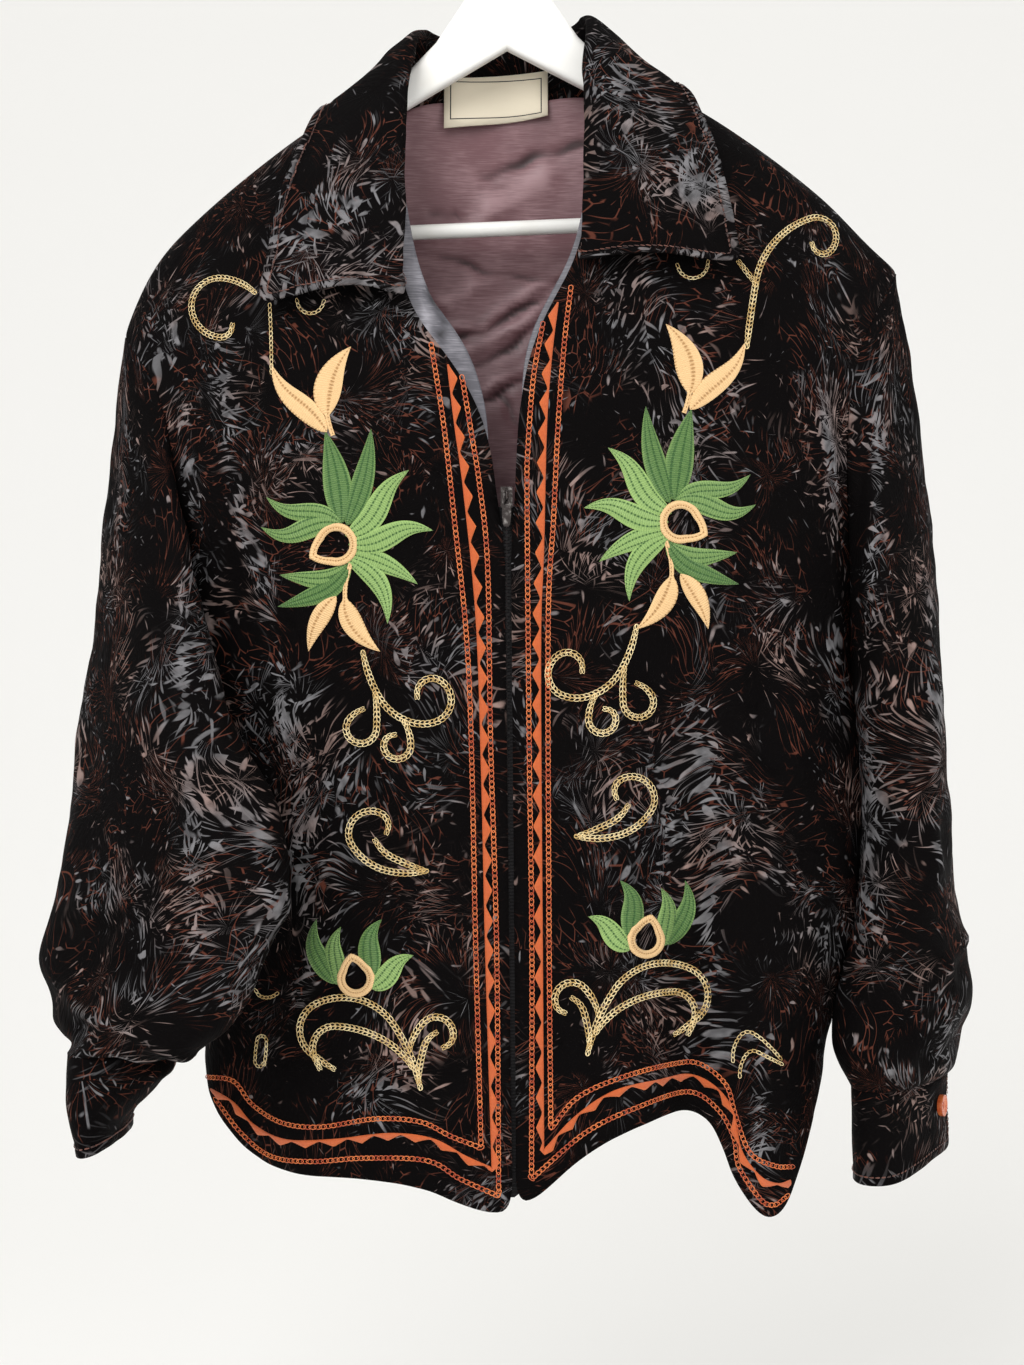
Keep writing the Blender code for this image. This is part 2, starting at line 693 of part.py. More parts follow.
# sleeves as open tubes, each gathered into a cuff that has a slit at its outer back
for side_name, (sleeve, cuff) in SLEEVES.items():
    inner = inner_grid(sleeve, ARM_NORMALS, WALL)
    shell("sleeve_" + side_name, *pull_back(sleeve, inner, ("top", "bottom")), "velvet", closed=True)
    inner = inner_grid(cuff, ARM_NORMALS, WALL)
    outer, inner = pull_back(cuff, inner, ("top",))
    slit = int(round(len(cuff[0]) * 0.88))
    outer = np.roll(outer, -slit, axis=1)
    inner = np.roll(inner, -slit, axis=1)
    reach = outer[:, :1] - outer[:, -1:]
    part = np.linalg.norm(reach, axis=2, keepdims=True)
    end_outer = outer[:, -1:] + reach * (part - CUFF_SLIT) / part
    end_inner = inner[:, -1:] + (inner[:, :1] - inner[:, -1:]) * (part - CUFF_SLIT) / part
    shell("cuff_" + side_name, np.concatenate((outer, end_outer), axis=1),
          np.concatenate((inner, end_inner), axis=1), "velvet")
    at = outer[1, 1] * 0.5 + outer[1, 2] * 0.5
    facing = np.cross(outer[2, 2] - outer[1, 1], outer[2, 1] - outer[1, 2])
    facing /= np.linalg.norm(facing)
    middle = outer.reshape(-1, 3).mean(axis=0)
    if np.dot(facing, at - middle) < 0:
        facing = -facing
    button = turned("button_" + side_name, ((0, 0), (5.2, 0), (BUTTON_RADIUS, 0.8), (BUTTON_RADIUS, 2.4),
                                            (5.6, BUTTON_THICK), (4.4, 2.5), (0, 2.3)), 18, "button_orange")
    spin = Vector((0, 0, 1)).rotation_difference(Vector(facing)).to_matrix().to_4x4()
    button.data.transform(spin)
    button.data.transform(spin.Translation(Vector((at + facing * BUTTON_LIFT) * MM)))

# collar: one strip from the neck seam up the stand, over the roll line and down the fall
TREE = body_tree(SKINS[:3])
ribs = []
for side_name, sign in (("left", -1.0), ("right", 1.0)):
    table = COLLAR[side_name]
    order = [(i,) + row for i, row in enumerate(table)]
    made = []
    for at in COLLAR_RIBS:
        roll = np.array([curve(order, at, c) for c in (1, 2, 3)])
        rim = np.array([curve(order, at, c) for c in (4, 5, 6)])
        if at <= 3:
            seam_x = curve(tuple(enumerate(COLLAR_SEAM_X)), at)
            seam = np.array((seam_x, curve(BACK_NECK, seam_x, 1), curve(BACK_NECK, seam_x, 2) + 1.5))
        else:
            seam_z = curve(tuple(enumerate((NECK_Z,) + COLLAR_SEAM_Z)), at - 3)
            seam_x = curve(FRONT_EDGE, seam_z, 1 if side_name == "right" else 2) + 5 * smooth(at - 3)
            seam_y = depth(side_name, seam_x, seam_z, "front") - 1.5
            seam = np.array((seam_x, seam_y, seam_z + 1.5 * smooth(4 - at)))
        points = [seam, mix(seam, roll, 0.5), mix(seam, roll, 0.88), mix(roll, rim, 0.05)]
        points += [mix(roll, rim, share) for share in (0.2, 0.42, 0.68, 1.0)]
        end = smooth(at - (len(table) - 2))
        rib = []
        for q, point in enumerate(points):
            share = max(0.0, (q - 3) / 4)
            point = np.array(point)
            point[2] += end * COLLAR_END_BOW[side_name] * 4 * share * (1 - share)
            lifted = place(sign * point[0], point[1], point[2])
            if q >= 3:
                lifted = settle(TREE, lifted, mix(9.0, 4.6, share))
            elif at > 2.9:
                lifted = settle(TREE, lifted, mix(3.0, 3.5, q / 2))
            rib.append(lifted)
        made.append(rib)
    ribs += made[::-1] if side_name == "left" else made[1:]
collar = np.array(ribs)
sheet("collar", collar, 1.0, 0.0, WALL * 0.9, "velvet")

# satin facings inside the front edges, showing beside the open V and covering the zip tape's edge
for side_name, sign in SIDES.items():
    inside = INNER[side_name]
    rows = []
    for k in range(3, ARM_ROWS + LOW_ROWS):
        line = inside[k]
        below = smooth((k - 8) / 2)
        show = mix(FACING_SHOW[side_name] * smooth((k - 3) / 3), -9.0, below)
        step = line[1] - line[0]
        step /= np.linalg.norm(step)
        near = line[0] - step * show if show > 0 else along(line, -show)
        if show > 0:
            near[1] += 0.35 * show
        cut = [near, along(line, max(3.0, -show + 3)), along(line, 20.0), along(line, FACING_BROAD)]
        rows.append(cut)
    sheet("facing_" + side_name, np.array(rows), OUTWARD[side_name], 0.5, 1.0, "facing_satin")

# back lining that shows in the neck opening, hung inside the back from the neck to above the hem
cols = BACK.shape[1] - 1
rows = []
for r in range(LINING_ROWS + 1):
    row = []
    for c in range(LINING_COLS + 1):
        t = -0.9 + 1.8 * c / LINING_COLS
        at = (t + 1) / 2 * cols
        low = min(int(at), cols - 1)
        line = mix(INNER["back"][:, low], INNER["back"][:, low + 1], at - low)
        start = mix(5.0, 44.0, smooth((abs(t) - 0.12) / 0.2))
        length = line_length(line) - 24.0
        hung = along(line, mix(start, length, (r / LINING_ROWS) ** 1.15))
        hung[1] -= LINING_EASE * smooth(r / LINING_ROWS * 1.6) * (1 - t * t)
        row.append(hung)
    rows.append(row)
sheet("lining_back", np.array(rows), OUTWARD["back"], LINING_GAP, LINING_WALL, "lining_satin")

# closed zip: a tape under each front edge, slider at the foot of the V and its pull tab
for side_name, sign in SIDES.items():
    rows = []
    for k in range(ARM_ROWS, ARM_ROWS + LOW_ROWS + 1):
        line = INNER[side_name][k]
        edge = line[0]
        up = np.array((0, 0, 5.0 if k == ARM_ROWS + LOW_ROWS else 0.0))
        rows.append([np.array((sign * 0.4, edge[1], edge[2])) + up, edge + up, along(line, 7.0) + up])
    sheet("zip_tape_" + side_name, np.array(rows), OUTWARD[side_name], 0.35, TAPE_WALL, "zip_tape")

edge_y = FRONTS["right"][ARM_ROWS, 0][1]
tape_y = edge_y + WALL
slider_z = ZIP_TOP_Z + 2.0
body_half = (3.4, 1.7, 6.0)
body_y = tape_y - 0.3 - body_half[1]
bm = bmesh.new()
bmesh.ops.create_cube(bm, size=2.0)
for vert in bm.verts:
    vert.co = Vector((vert.co.x * body_half[0] * MM, (vert.co.y * body_half[1] + body_y) * MM,
                      (vert.co.z * body_half[2] + slider_z) * MM))
slider_mesh = bpy.data.meshes.new("zip_slider")
bm.to_mesh(slider_mesh)
bm.free()
slider = add_object("zip_slider", slider_mesh, "zip_metal")
face_y = body_y - body_half[1]
arch = [(0, face_y + 0.9 - 4.2 * math.sin(a), slider_z + 1.2 + 3.4 * math.cos(a))
        for a in np.linspace(0, math.pi, 9)]
bridge = wire("zip_bridge", arch, 0.75, 1, "zip_metal")
PART.objects.unlink(bridge)
CUTTERS.objects.link(bridge)
bridge.hide_render = True
bridge.display_type = "WIRE"
join = slider.modifiers.new("bridge", "BOOLEAN")
join.operation = "UNION"
join.solver = "EXACT"
join.object = bridge
bake(slider)
bpy.data.objects.remove(bridge)

pin_y = face_y - 1.45
pin_z = slider_z + 1.2
half_tab = ((2.6, 0.6), (2.6, -12), (2.0, -17.2), (1.0, -18.4))
tab_outline = half_tab + tuple((-x, z) for x, z in half_tab[::-1])
tab_eye = ((-1.4, -0.6), (1.4, -0.6), (1.4, -6.0), (-1.4, -6.0))
tab = extruded("zip_pull", (tab_outline, tab_eye), 0.6, "zip_metal")
tab.location = (0.0, pin_y * MM, pin_z * MM)

# plain neck label hung from the collar stand
label_rows = []
for i in range(6):
    down = i / 5
    row = []
    for j in range(9):
        across = j / 8
        x = LABEL_MID_X + (across - 0.5) * LABEL_SIZE[0]
        z = -121.5 - LABEL_SIZE[1] * down * (1.0 - 0.1 * across) - 3.0 * (1 - across)
        y = mix(26.5, 21.5, down) - 1.6 * math.sin(across * math.pi * 2.2) * down - 0.0046 * x * x
        row.append(place(x, y - 1.2, z))
    label_rows.append(row)
sheet("label", np.array(label_rows), -1.0, 0.0, 1.0, "label_cream")

# hanger: flat board with sloped arms, trouser bar between its drop ends, wire hook on top
top_x = (82, 104, 130, 160, 188)
half_top = [(15, -70), (24, -80), (44, -109), (64, -129)]
half_top += [(x, curve(SHOULDER, x) - HANGER_DROP) for x in top_x]
half_top += [(HANGER_END, -230), (HANGER_END - 2, -244), (168.5, -244), (168, -214)]
half_top += [(120, HANGER_APEX_Z - 120 * HANGER_SLOPE - 3), (60, HANGER_APEX_Z - 60 * HANGER_SLOPE)]
outline = [(x, z) for x, z in half_top] + [(0, HANGER_APEX_Z)] + [(-x, z) for x, z in half_top[::-1]]
outline = [(x, z + x * LEAN) for x, z in outline]
board = extruded("hanger_board", (outline,), HANGER_HALF, "hanger_white")
bm = bmesh.new()
bm.from_mesh(board.data)
weight = bm.edges.layers.float.new("bevel_weight_edge")
for edge in bm.edges:
    across = sorted(abs(face.normal.y) for face in edge.link_faces)
    edge[weight] = 1.0 if across[0] < 0.5 < across[-1] else 0.0
bm.to_mesh(board.data)
bm.free()
soft = board.modifiers.new("soft", "BEVEL")
soft.width = HANGER_BEVEL * MM
soft.segments = 3
soft.limit_method = "WEIGHT"
bake(board)

bar_path = [(x, 0, BAR_Z + x * LEAN) for x in np.linspace(-BAR_HALF, BAR_HALF, 3)]
wire("hanger_bar", bar_path, BAR_RADIUS, 3, "hanger_white")

hook_path = [(0, 0, -69.7), (0, 0, -58), (1.2, 0, -49), (4.6, 0, -43.2)]
hook_path += [(HOOK_RADIUS * math.cos(a), 0, -HOOK_RADIUS + HOOK_WIRE + HOOK_RADIUS * math.sin(a))
              for a in np.radians(np.linspace(-64, 200, 23))]
wire("hanger_hook", hook_path, HOOK_WIRE, 2, "hook_steel")
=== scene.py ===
"""Looks of the velvet jacket on its hanger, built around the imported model.

The scene is in metres with the front towards -Y. Places and thicknesses on the jacket are named in
millimetres, and the flat sizes of its cloth in metres.
"""
import math

import bmesh
import bpy
import numpy as np
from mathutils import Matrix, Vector, noise
from mathutils.bvhtree import BVHTree
from mathutils.kdtree import KDTree


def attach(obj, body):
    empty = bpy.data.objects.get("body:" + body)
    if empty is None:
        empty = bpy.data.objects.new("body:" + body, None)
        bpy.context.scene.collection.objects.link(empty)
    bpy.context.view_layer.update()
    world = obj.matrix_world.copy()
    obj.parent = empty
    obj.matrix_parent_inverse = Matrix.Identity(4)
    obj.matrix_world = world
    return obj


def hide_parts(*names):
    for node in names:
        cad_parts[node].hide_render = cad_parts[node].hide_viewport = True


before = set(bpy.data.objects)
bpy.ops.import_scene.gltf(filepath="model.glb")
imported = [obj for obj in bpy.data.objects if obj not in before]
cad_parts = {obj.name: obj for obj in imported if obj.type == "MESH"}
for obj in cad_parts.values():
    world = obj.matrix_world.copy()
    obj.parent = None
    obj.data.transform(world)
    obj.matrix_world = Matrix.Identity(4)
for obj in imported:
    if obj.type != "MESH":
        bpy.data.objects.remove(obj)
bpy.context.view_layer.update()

bpy.ops.object.select_all(action="DESELECT")


# Hanger: a flat board moulded in white plastic with rounded rims and two sloping arms, a round
# trouser bar pressed between its drop ends, and a bent steel wire hook that turns in its top.
MM = 0.001
HANGER_WHITE = (0.87, 0.86, 0.83, 1)
HANGER_CREAM = (0.72, 0.68, 0.6, 1)
HOOK_BRIGHT = (0.62, 0.62, 0.63, 1)
HOOK_DULL = (0.4, 0.4, 0.42, 1)


def add(tree, kind, inputs=(), **settings):
    """New shader node, its inputs set to values or joined to sockets."""
    made = tree.nodes.new("ShaderNode" + kind)
    for name, value in settings.items():
        setattr(made, name, value)
    for name, value in dict(inputs).items():
        if isinstance(value, bpy.types.NodeSocket):
            tree.links.new(value, made.inputs[name])
        else:
            made.inputs[name].default_value = value
    return made


def span(tree, value, low, high, start=0.0, end=1.0):
    """A value eased from one range to another."""
    ranges = {"Value": value, "From Min": low, "From Max": high, "To Min": start, "To Max": end}
    return add(tree, "MapRange", ranges, interpolation_type="SMOOTHSTEP").outputs[0]


def tint(tree, share, first, second):
    """Colour between two colours."""
    return add(tree, "Mix", {0: share, 6: first, 7: second}, data_type="RGBA").outputs[2]


def new_material(name, **sockets):
    """Material with one Principled shader, and constant values on its own sockets."""
    made = bpy.data.materials.new(name)
    made.use_nodes = True
    shader = made.node_tree.nodes["Principled BSDF"]
    for socket, value in sockets.items():
        shader.inputs[socket.replace("_", " ")].default_value = value
    return made, made.node_tree, shader


def bump(tree, shader, height, distance, strength=1.0):
    """Relief on a material's shader."""
    relief = add(tree, "Bump", {"Height": height, "Distance": distance, "Strength": strength})
    tree.links.new(relief.outputs[0], shader.inputs["Normal"])


def feed(shader, **sockets):
    """Join varying values to a shader's own sockets."""
    for socket, value in sockets.items():
        shader.id_data.links.new(value, shader.inputs[socket.replace("_", " ")])


def mottle(tree, scale, detail, **more):
    """Plain noise over a piece's own places."""
    place = add(tree, "TexCoord").outputs["Object"]
    return add(tree, "TexNoise", {"Vector": place, "Scale": scale, "Detail": detail, **more}).outputs["Fac"]


def stand(name, data):
    """New object in the scene for a mesh, a lamp or the camera."""
    made = bpy.data.objects.new(name, data)
    bpy.context.scene.collection.objects.link(made)
    return made


def dress(piece, mat, *nodes, body="jacket", slot=None):
    """Give a piece its material, the body it rides on and the CAD nodes it replaces; its slot is not used."""
    piece.data.materials.clear()
    piece.data.materials.append(mat)
    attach(piece, body)
    if nodes:
        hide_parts(*nodes)
    return piece


def use(piece):
    """Make one piece the only selected and active one."""
    bpy.ops.object.select_all(action="DESELECT")
    piece.select_set(True)
    bpy.context.view_layer.objects.active = piece


def hard_copy(name, node, mat, angle, slot, body="jacket"):
    """Merged copy of a hard CAD piece with soft shading over its rounded rims."""
    piece = dress(stand(name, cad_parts[node].data.copy()), mat, node, body=body, slot=slot)
    use(piece)
    bpy.ops.object.mode_set(mode="EDIT")
    bpy.ops.mesh.select_all(action="SELECT")
    bpy.ops.mesh.remove_doubles(threshold=1e-6)
    bpy.ops.mesh.dissolve_limited(angle_limit=0.002)
    bpy.ops.object.mode_set(mode="OBJECT")
    bpy.ops.object.shade_smooth_by_angle(angle=math.radians(angle))
    return piece


plastic, tree, shader = new_material("hanger_plastic", Specular_IOR_Level=0.4)
scuffs = mottle(tree, 420.0, 3.0)
aged = span(tree, mottle(tree, 30.0, 4.0), 0.45, 0.8, 0.0, 0.35)
feed(shader, Base_Color=tint(tree, aged, HANGER_WHITE, HANGER_CREAM),
     Roughness=span(tree, scuffs, 0.3, 0.8, 0.3, 0.5))
bump(tree, shader, scuffs, 0.00006)

steel, tree, shader = new_material("hook_wire", Metallic=1.0)
drawn = mottle(tree, 900.0, 2.0)
feed(shader, Base_Color=tint(tree, drawn, HOOK_BRIGHT, HOOK_DULL),
     Roughness=span(tree, drawn, 0.3, 0.7, 0.2, 0.38))

hard_copy("hanger_board_shell", "hanger_board", plastic, 40, "hanger_white")
hard_copy("hanger_bar_rod", "hanger_bar", plastic, 50, "hanger_white")
hard_copy("hanger_hook_wire", "hanger_hook", steel, 60, "hook_steel")


# Body, sleeves, cuffs and collar: crushed black velvet panels with a reddish ground that shows as fine lines
# where the pile is broken, and painted grey sheen where it lies flat. Each panel is cut and sewn to the next.
VELVET_BLACK = (0.0022, 0.0017, 0.0018, 1)
VELVET_RUST = (0.085, 0.027, 0.0175, 1)
PAINTED_SHEEN_SILVER = (0.17, 0.166, 0.174, 1)
PAINTED_SHEEN_MAUVE = (0.25, 0.17, 0.15, 1)
CLOTH_THICK = 1.5
SEAM_REACH = 4.0
SEAM_FADE = 13.0
LOOK_ROUND = 12.0
CRUMPLE = ((34.0, 1.3), (13.0, 0.55))
RIM_SLACK = 0.003
CUFF_RIM_SLACK = 0.15
CLEAR_OUTSIDE = 0.3
CLEAR_INSIDE = 0.2
CLEAR_ASIDE = 0.4
SLEEVE_AWAY = 60.0
LAY_ROW = 25.0
LAY_ROUND = 0.8
LAY_APART = 700.0
PANEL_DEPTH = 80.0
# fans of crushed pile: cells to the metre, then how fine the strokes are across and along their spokes
BROAD_FAN = (17.0, 15.0, 75.0)
SMALL_FAN = (33.0, 9.5, 120.0)
FINE_FAN = (23.0, 25.0, 80.0)
PRESSED_ASIDE = 1.9
# scales of the patches where the pile lies flat, painted glints are brighter, it is broken or its painted
# sheen is warm
FLAT_PATCH = 13.0
GLINT_PATCH = 90.0
BROKEN_PATCH = 24.0
WARM_PATCH = 19.0

# panel: levels of smoothing, wall of its solid, width, length and area of its cut, how it is held
PANELS = {
    "back": (2, 2.0, 0.46, 0.68, 0.265, "hung"),
    "front_left": (3, 2.0, 0.26, 0.74, 0.132, "hung"),
    "front_right": (3, 2.0, 0.26, 0.74, 0.144, "hung"),
    "sleeve_left": (3, 2.0, 0.36, 0.47, 0.126, "gathered"),
    "sleeve_right": (3, 2.0, 0.36, 0.52, 0.142, "gathered"),
    "cuff_left": (3, 2.0, 0.215, 0.057, 0.0115, "hung"),
    "cuff_right": (3, 2.0, 0.27, 0.058, 0.015, "hung"),
    "collar": (3, 1.8, 0.46, 0.13, 0.055, "folded"),
}

# creases, by panels and side seen: half breadth, height (troughs below 0), painted shine (painted highlight,
# painted shade below 0), then x and z along the fold
CREASES = (
    ("front_right", -1, (
        (9, 2.4, 0.55, 104, -330, 110, -450, 114, -560),
        (10, 3.6, 1.0, 113, -530, 121, -600, 119, -670, 124, -740),
        (9, -3.2, 0.0, 140, -420, 150, -560, 166, -650),
        (8, 2.8, 1.0, 184, -290, 190, -360, 193, -450, 196, -520),
        (10, 1.8, 0.35, 64, -455, 56, -540, 50, -640),
        (6, -1.4, 0.0, 40, -500, 37, -700),
        (8, -2.0, 0.0, 92, -600, 74, -705),
        (9, 1.8, 0.35, 120, -270, 150, -310, 178, -330),
        (7, 1.8, 0.6, 44, -700, 62, -735, 92, -742),
        (7, 2.2, 0.8, 158, -680, 146, -720, 141, -790),
        (5, 1.5, 0.5, 140, -660, 170, -650, 192, -655),
        (5, -1.4, 0.0, 132, -600, 150, -585, 176, -560),
        (5, 1.4, 0.45, 120, -596, 150, -625, 180, -630),
    )),
    ("front_left", -1, (
        (9, 2.0, 0.45, -104, -330, -112, -400, -118, -470),
        (10, 3.0, 0.9, -146, -420, -134, -490, -126, -560, -118, -640),
    )),
    ("front_left sleeve_left", -1, (
        (8, 2.8, 1.0, -203, -296, -193, -359, -186, -417, -182, -517),
        (9, -2.6, 0.0, -212, -300, -202, -360, -196, -440, -192, -520),
    )),
    ("front_left", -1, (
        (8, 2.2, 0.85, -177, -306, -164, -356, -158, -403, -150, -440, -140, -470),
        (6, -2.2, 0.0, -146, -300, -150, -400, -142, -440, -128, -510),
        (11, 1.6, 0.3, -60, -470, -48, -650),
        (8, -1.8, 0.0, -78, -560, -66, -690),
        (8, 2.2, 0.7, -110, -640, -122, -700, -150, -740),
        (6, -1.8, 0.0, -136, -640, -166, -700),
        (8, 1.5, 0.4, -40, -690, -60, -730, -86, -745),
        (9, 1.6, 0.3, -120, -250, -176, -300),
    )),
    ("sleeve_left", -1, (
        (9, 3.4, 1.0, -181, -500, -176, -551, -175, -600, -170, -650),
        (9, -3.0, 0.0, -193, -500, -188, -551, -187, -600, -182, -650),
        (10, 4.2, 0.8, -214, -676, -194, -678, -157, -668, -138, -655, -129, -635, -122, -618),
        (7, -3.6, 0.0, -240, -662, -214, -664, -168, -656, -148, -640, -140, -622),
        (5, 2.6, 0.9, -256, -690, -231, -692, -206, -698, -190, -708, -170, -704),
        (6, -3.8, 0.0, -256, -699, -231, -702, -206, -707, -188, -716),
        (5, 2.4, 0.9, -226, -714, -209, -720, -192, -721),
        (8, 2.4, 0.6, -246, -634, -220, -630, -198, -614),
        (6, -2.0, 0.0, -250, -648, -222, -646, -200, -634),
        (8, 2.0, 0.7, -150, -560, -134, -600, -126, -640),
        (7, 1.6, 0.45, -246, -360, -252, -460, -258, -560),
    )),
    ("sleeve_right", -1, (
        (7, 2.6, 1.0, 224, -280, 220, -376, 215, -439, 212, -553, 212, -638, 206, -705),
        (6, -3.0, 0.0, 214, -290, 209, -380, 205, -439),
        (9, 2.2, 0.8, 246, -440, 250, -520, 258, -590),
        (6, 2.4, 0.75, 243, -540, 250, -621, 262, -648, 275, -664),
        (6, -3.0, 0.0, 256, -560, 262, -620, 274, -645),
        (5, 3.0, 0.55, 246, -684, 258, -677, 266, -668, 280, -658),
        (8, -4.2, 0.0, 250, -695, 266, -686, 284, -672),
        (5, 2.6, 0.5, 238, -698, 250, -689, 261, -686, 259, -706, 261, -723),
        (7, -3.0, 0.0, 226, -684, 244, -676, 252, -666),
    )),
    ("sleeve_right cuff_right", -1, (
        (8, 3.4, 0.9, 202, -712, 220, -730, 246, -752),
    )),
    ("sleeve_right", -1, (
        (7, -3.2, 0.0, 212, -700, 236, -716, 250, -734),
    )),
    ("sleeve_right", 1, (
        (9, 2.4, 0.8, 236, -380, 246, -600),
        (7, -2.2, 0.0, 252, -430, 258, -610),
        (8, -3.4, 0.0, 232, -670, 260, -676, 282, -690),
        (8, 3.0, 0.5, 236, -640, 278, -655),
        (7, 2.6, 0.5, 216, -700, 250, -712, 280, -708),
    )),
    ("sleeve_left", 1, (
        (9, 2.4, 0.8, -232, -360, -238, -560),
        (7, -2.2, 0.0, -214, -430, -206, -590),
        (9, 3.4, 0.55, -170, -636, -200, -650, -256, -676),
        (7, -3.2, 0.0, -176, -656, -200, -672, -254, -694),
    )),
    ("back", 1, (
        (13, 2.4, 0.6, -120, -210, -128, -520),
        (12, -2.4, 0.0, -86, -260, -92, -640),
        (14, 2.8, 0.8, -52, -330, -46, -700),
        (12, -1.8, 0.0, 8, -240, -4, -560),
        (13, 2.4, 0.7, 34, -300, 44, -500, 40, -690),
        (11, -2.2, 0.0, 82, -280, 90, -600),
        (12, 2.8, 0.75, 124, -230, 138, -400, 132, -560),
        (10, -2.0, 0.0, 160, -320, 168, -620),
        (10, -2.2, 0.0, -158, -340, -160, -600),
        (10, 2.4, 0.6, -140, -600, -110, -740),
        (10, 2.6, 0.65, 110, -600, 130, -735),
        (10, -2.0, 0.0, -20, -600, -8, -752),
    )),
    ("collar", -1, (
        (12, 1.6, 0.6, 62, -130, 92, -250),
        (9, 1.3, 0.8, 88, -150, 118, -255),
        (8, -1.0, 0.0, 44, -150, 58, -240),
        (8, 1.2, 0.55, 100, -190, 132, -236),
        (12, 1.6, 0.6, -66, -130, -104, -250),
        (9, 1.3, 0.8, -92, -160, -124, -262),
        (8, -1.0, 0.0, -52, -150, -66, -250),
        (8, 1.2, 0.55, -104, -200, -138, -246),
    )),
    ("collar", 1, (
        (9, 1.2, 0.5, -70, -120, -20, -150),
        (9, 1.2, 0.6, 10, -128, 80, -140),
    )),
)
# the right side seam swings out until it meets the sleeve: panels, x where it starts and is full, then z
# and amounts
SIDE_SWELL = ("front_right back", 120.0, 186.0, (-765, -725, -690, -650, -600, -553, -505, -465),
              (0, 6, 18, 26, 24, 18, 5, 0))
# places that hang lower or wider: panels, x, z, reach, amounts aside and up
PULLS = (
    ("front_left back", -165, -748, 45, -6.0, -3.0),
    ("front_left", -6, -808, 30, 0.5, -8.0),
    ("sleeve_left cuff_left", -166, -692, 34, 9.0, -13.0),
    ("sleeve_left cuff_left", -197, -721, 25, 15.0, -7.0),
    ("sleeve_left cuff_left", -206, -764, 24, -9.0, 0.0),
    ("cuff_left", -252, -774, 18, 7.0, -3.0),
    ("sleeve_left", -262, -668, 26, -8.0, 3.0),
    ("sleeve_left cuff_left", -263, -690, 15, 7.0, 2.0),
    ("sleeve_left cuff_left", -207, -735, 21, 13.0, 2.0),
    ("cuff_left", -213, -748, 13, 5.0, 0.0),
    ("sleeve_left cuff_left", -194, -724, 14, 2.0, -6.0),
    ("sleeve_right", 277, -724, 16, -6.0, 0.0),
    ("sleeve_right cuff_right", 262, -741, 14, 6.0, 0.0),
    ("cuff_right", 264, -800, 24, 2.0, 9.0),
    ("front_right", 8, -802, 30, -0.5, -6.0),
    ("front_right back", 152, -812, 26, 0.0, -7.0),
    ("front_right back", 131, -792, 22, -4.0, -2.0),
    ("front_right back", 168, -775, 45, 6.0, 0.0),
)
# front edges lie nearly edge to edge over the zip: amounts aside at the foot and at the slider
EDGE_MEETS = {"front_left": (7.6, 3.2), "front_right": (1.2, -2.0)}
MEET_LEVELS = (-800.0, -420.0)
MEET_START = -390.0
MEET_REACH = 36.0
# edges rolled and stitched down: distance of the stitching, height of the roll, its painted highlight
EDGE_ROLLS = {"collar": (6.0, 1.1, 0.9), "cuff_left": (5.0, 0.5, 0.3), "cuff_right": (5.0, 0.5, 0.3)}
folds = [(panels_seen, side, *row) for panels_seen, side, rows in CREASES for row in rows]


def ease(value):
    """Smooth step from 0 to 1 over an array."""
    value = np.clip(value, 0.0, 1.0)
    return value * value * (3.0 - 2.0 * value)


def points_of(mesh):
    """Vertex places of a mesh in millimetres, and its normals."""
    count = len(mesh.vertices)
    place = np.zeros(count * 3, np.float32)
    facing = np.zeros(count * 3, np.float32)
    mesh.vertices.foreach_get("co", place)
    mesh.vertices.foreach_get("normal", facing)
    return place.reshape(-1, 3).astype(float) / MM, facing.reshape(-1, 3).astype(float)


def set_points(mesh, place):
    """Write vertex places given in millimetres."""
    mesh.vertices.foreach_set("co", (place * MM).astype(np.float32).ravel())
    mesh.update()


def keep(mesh, name, values):
    """Keep a value or a vector for each point of a mesh, which its material reads."""
    kind, field = ("FLOAT", "value") if values.ndim == 1 else ("FLOAT_VECTOR", "vector")
    kept = mesh.attributes.new(name, kind, "POINT")
    kept.data.foreach_set(field, values.astype(np.float32).ravel())


def modify(piece, kind, **settings):
    """Add one modifier to a piece and apply it."""
    use(piece)
    made = piece.modifiers.new(kind.lower(), kind)
    for name, value in settings.items():
        setattr(made, name, value)
    bpy.ops.object.modifier_apply(modifier=made.name)


def nearest_of(points):
    """Search tree over points."""
    made = KDTree(len(points))
    for number, point in enumerate(points):
        made.insert(point, number)
    made.balance()
    return made


def outer_skin(name, node, wall, levels, toward=None):
    """Outer skin of a CAD cloth panel as a smoothed open mesh: its rim and inner wall are taken off."""
    bm = bmesh.new()
    bm.from_mesh(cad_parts[node].data)
    bmesh.ops.remove_doubles(bm, verts=bm.verts[:], dist=1e-6)
    slack = CUFF_RIM_SLACK if node.startswith("cuff") else RIM_SLACK
    through = {edge for edge in bm.edges if abs(edge.calc_length() - wall * MM) < slack * MM}
    rim = [face for face in bm.faces if any(edge in through for edge in face.edges)]
    bmesh.ops.delete(bm, geom=rim, context="FACES")
    left = set(bm.faces)
    skins = []
    while left:
        skin = [left.pop()]
        for face in skin:
            near = {other for edge in face.edges for other in edge.link_faces} & left
            left -= near
            skin.extend(near)
        skins.append(skin)

    def outerness(skin):
        """Area of a skin, or its area that looks the given way."""
        return sum(face.calc_area() * (face.normal.dot(Vector(toward)) if toward else 1) for face in skin)

    skins.sort(key=outerness)
    inner = [face for skin in skins[:-1] for face in skin]
    bmesh.ops.delete(bm, geom=inner, context="FACES")
    bmesh.ops.join_triangles(bm, faces=bm.faces[:], angle_face_threshold=math.pi,
                             angle_shape_threshold=math.pi)
    mesh = bpy.data.meshes.new(name)
    bm.to_mesh(mesh)
    bm.free()
    piece = stand(name, mesh)
    modify(piece, "SUBSURF", levels=levels, render_levels=levels)
    return piece


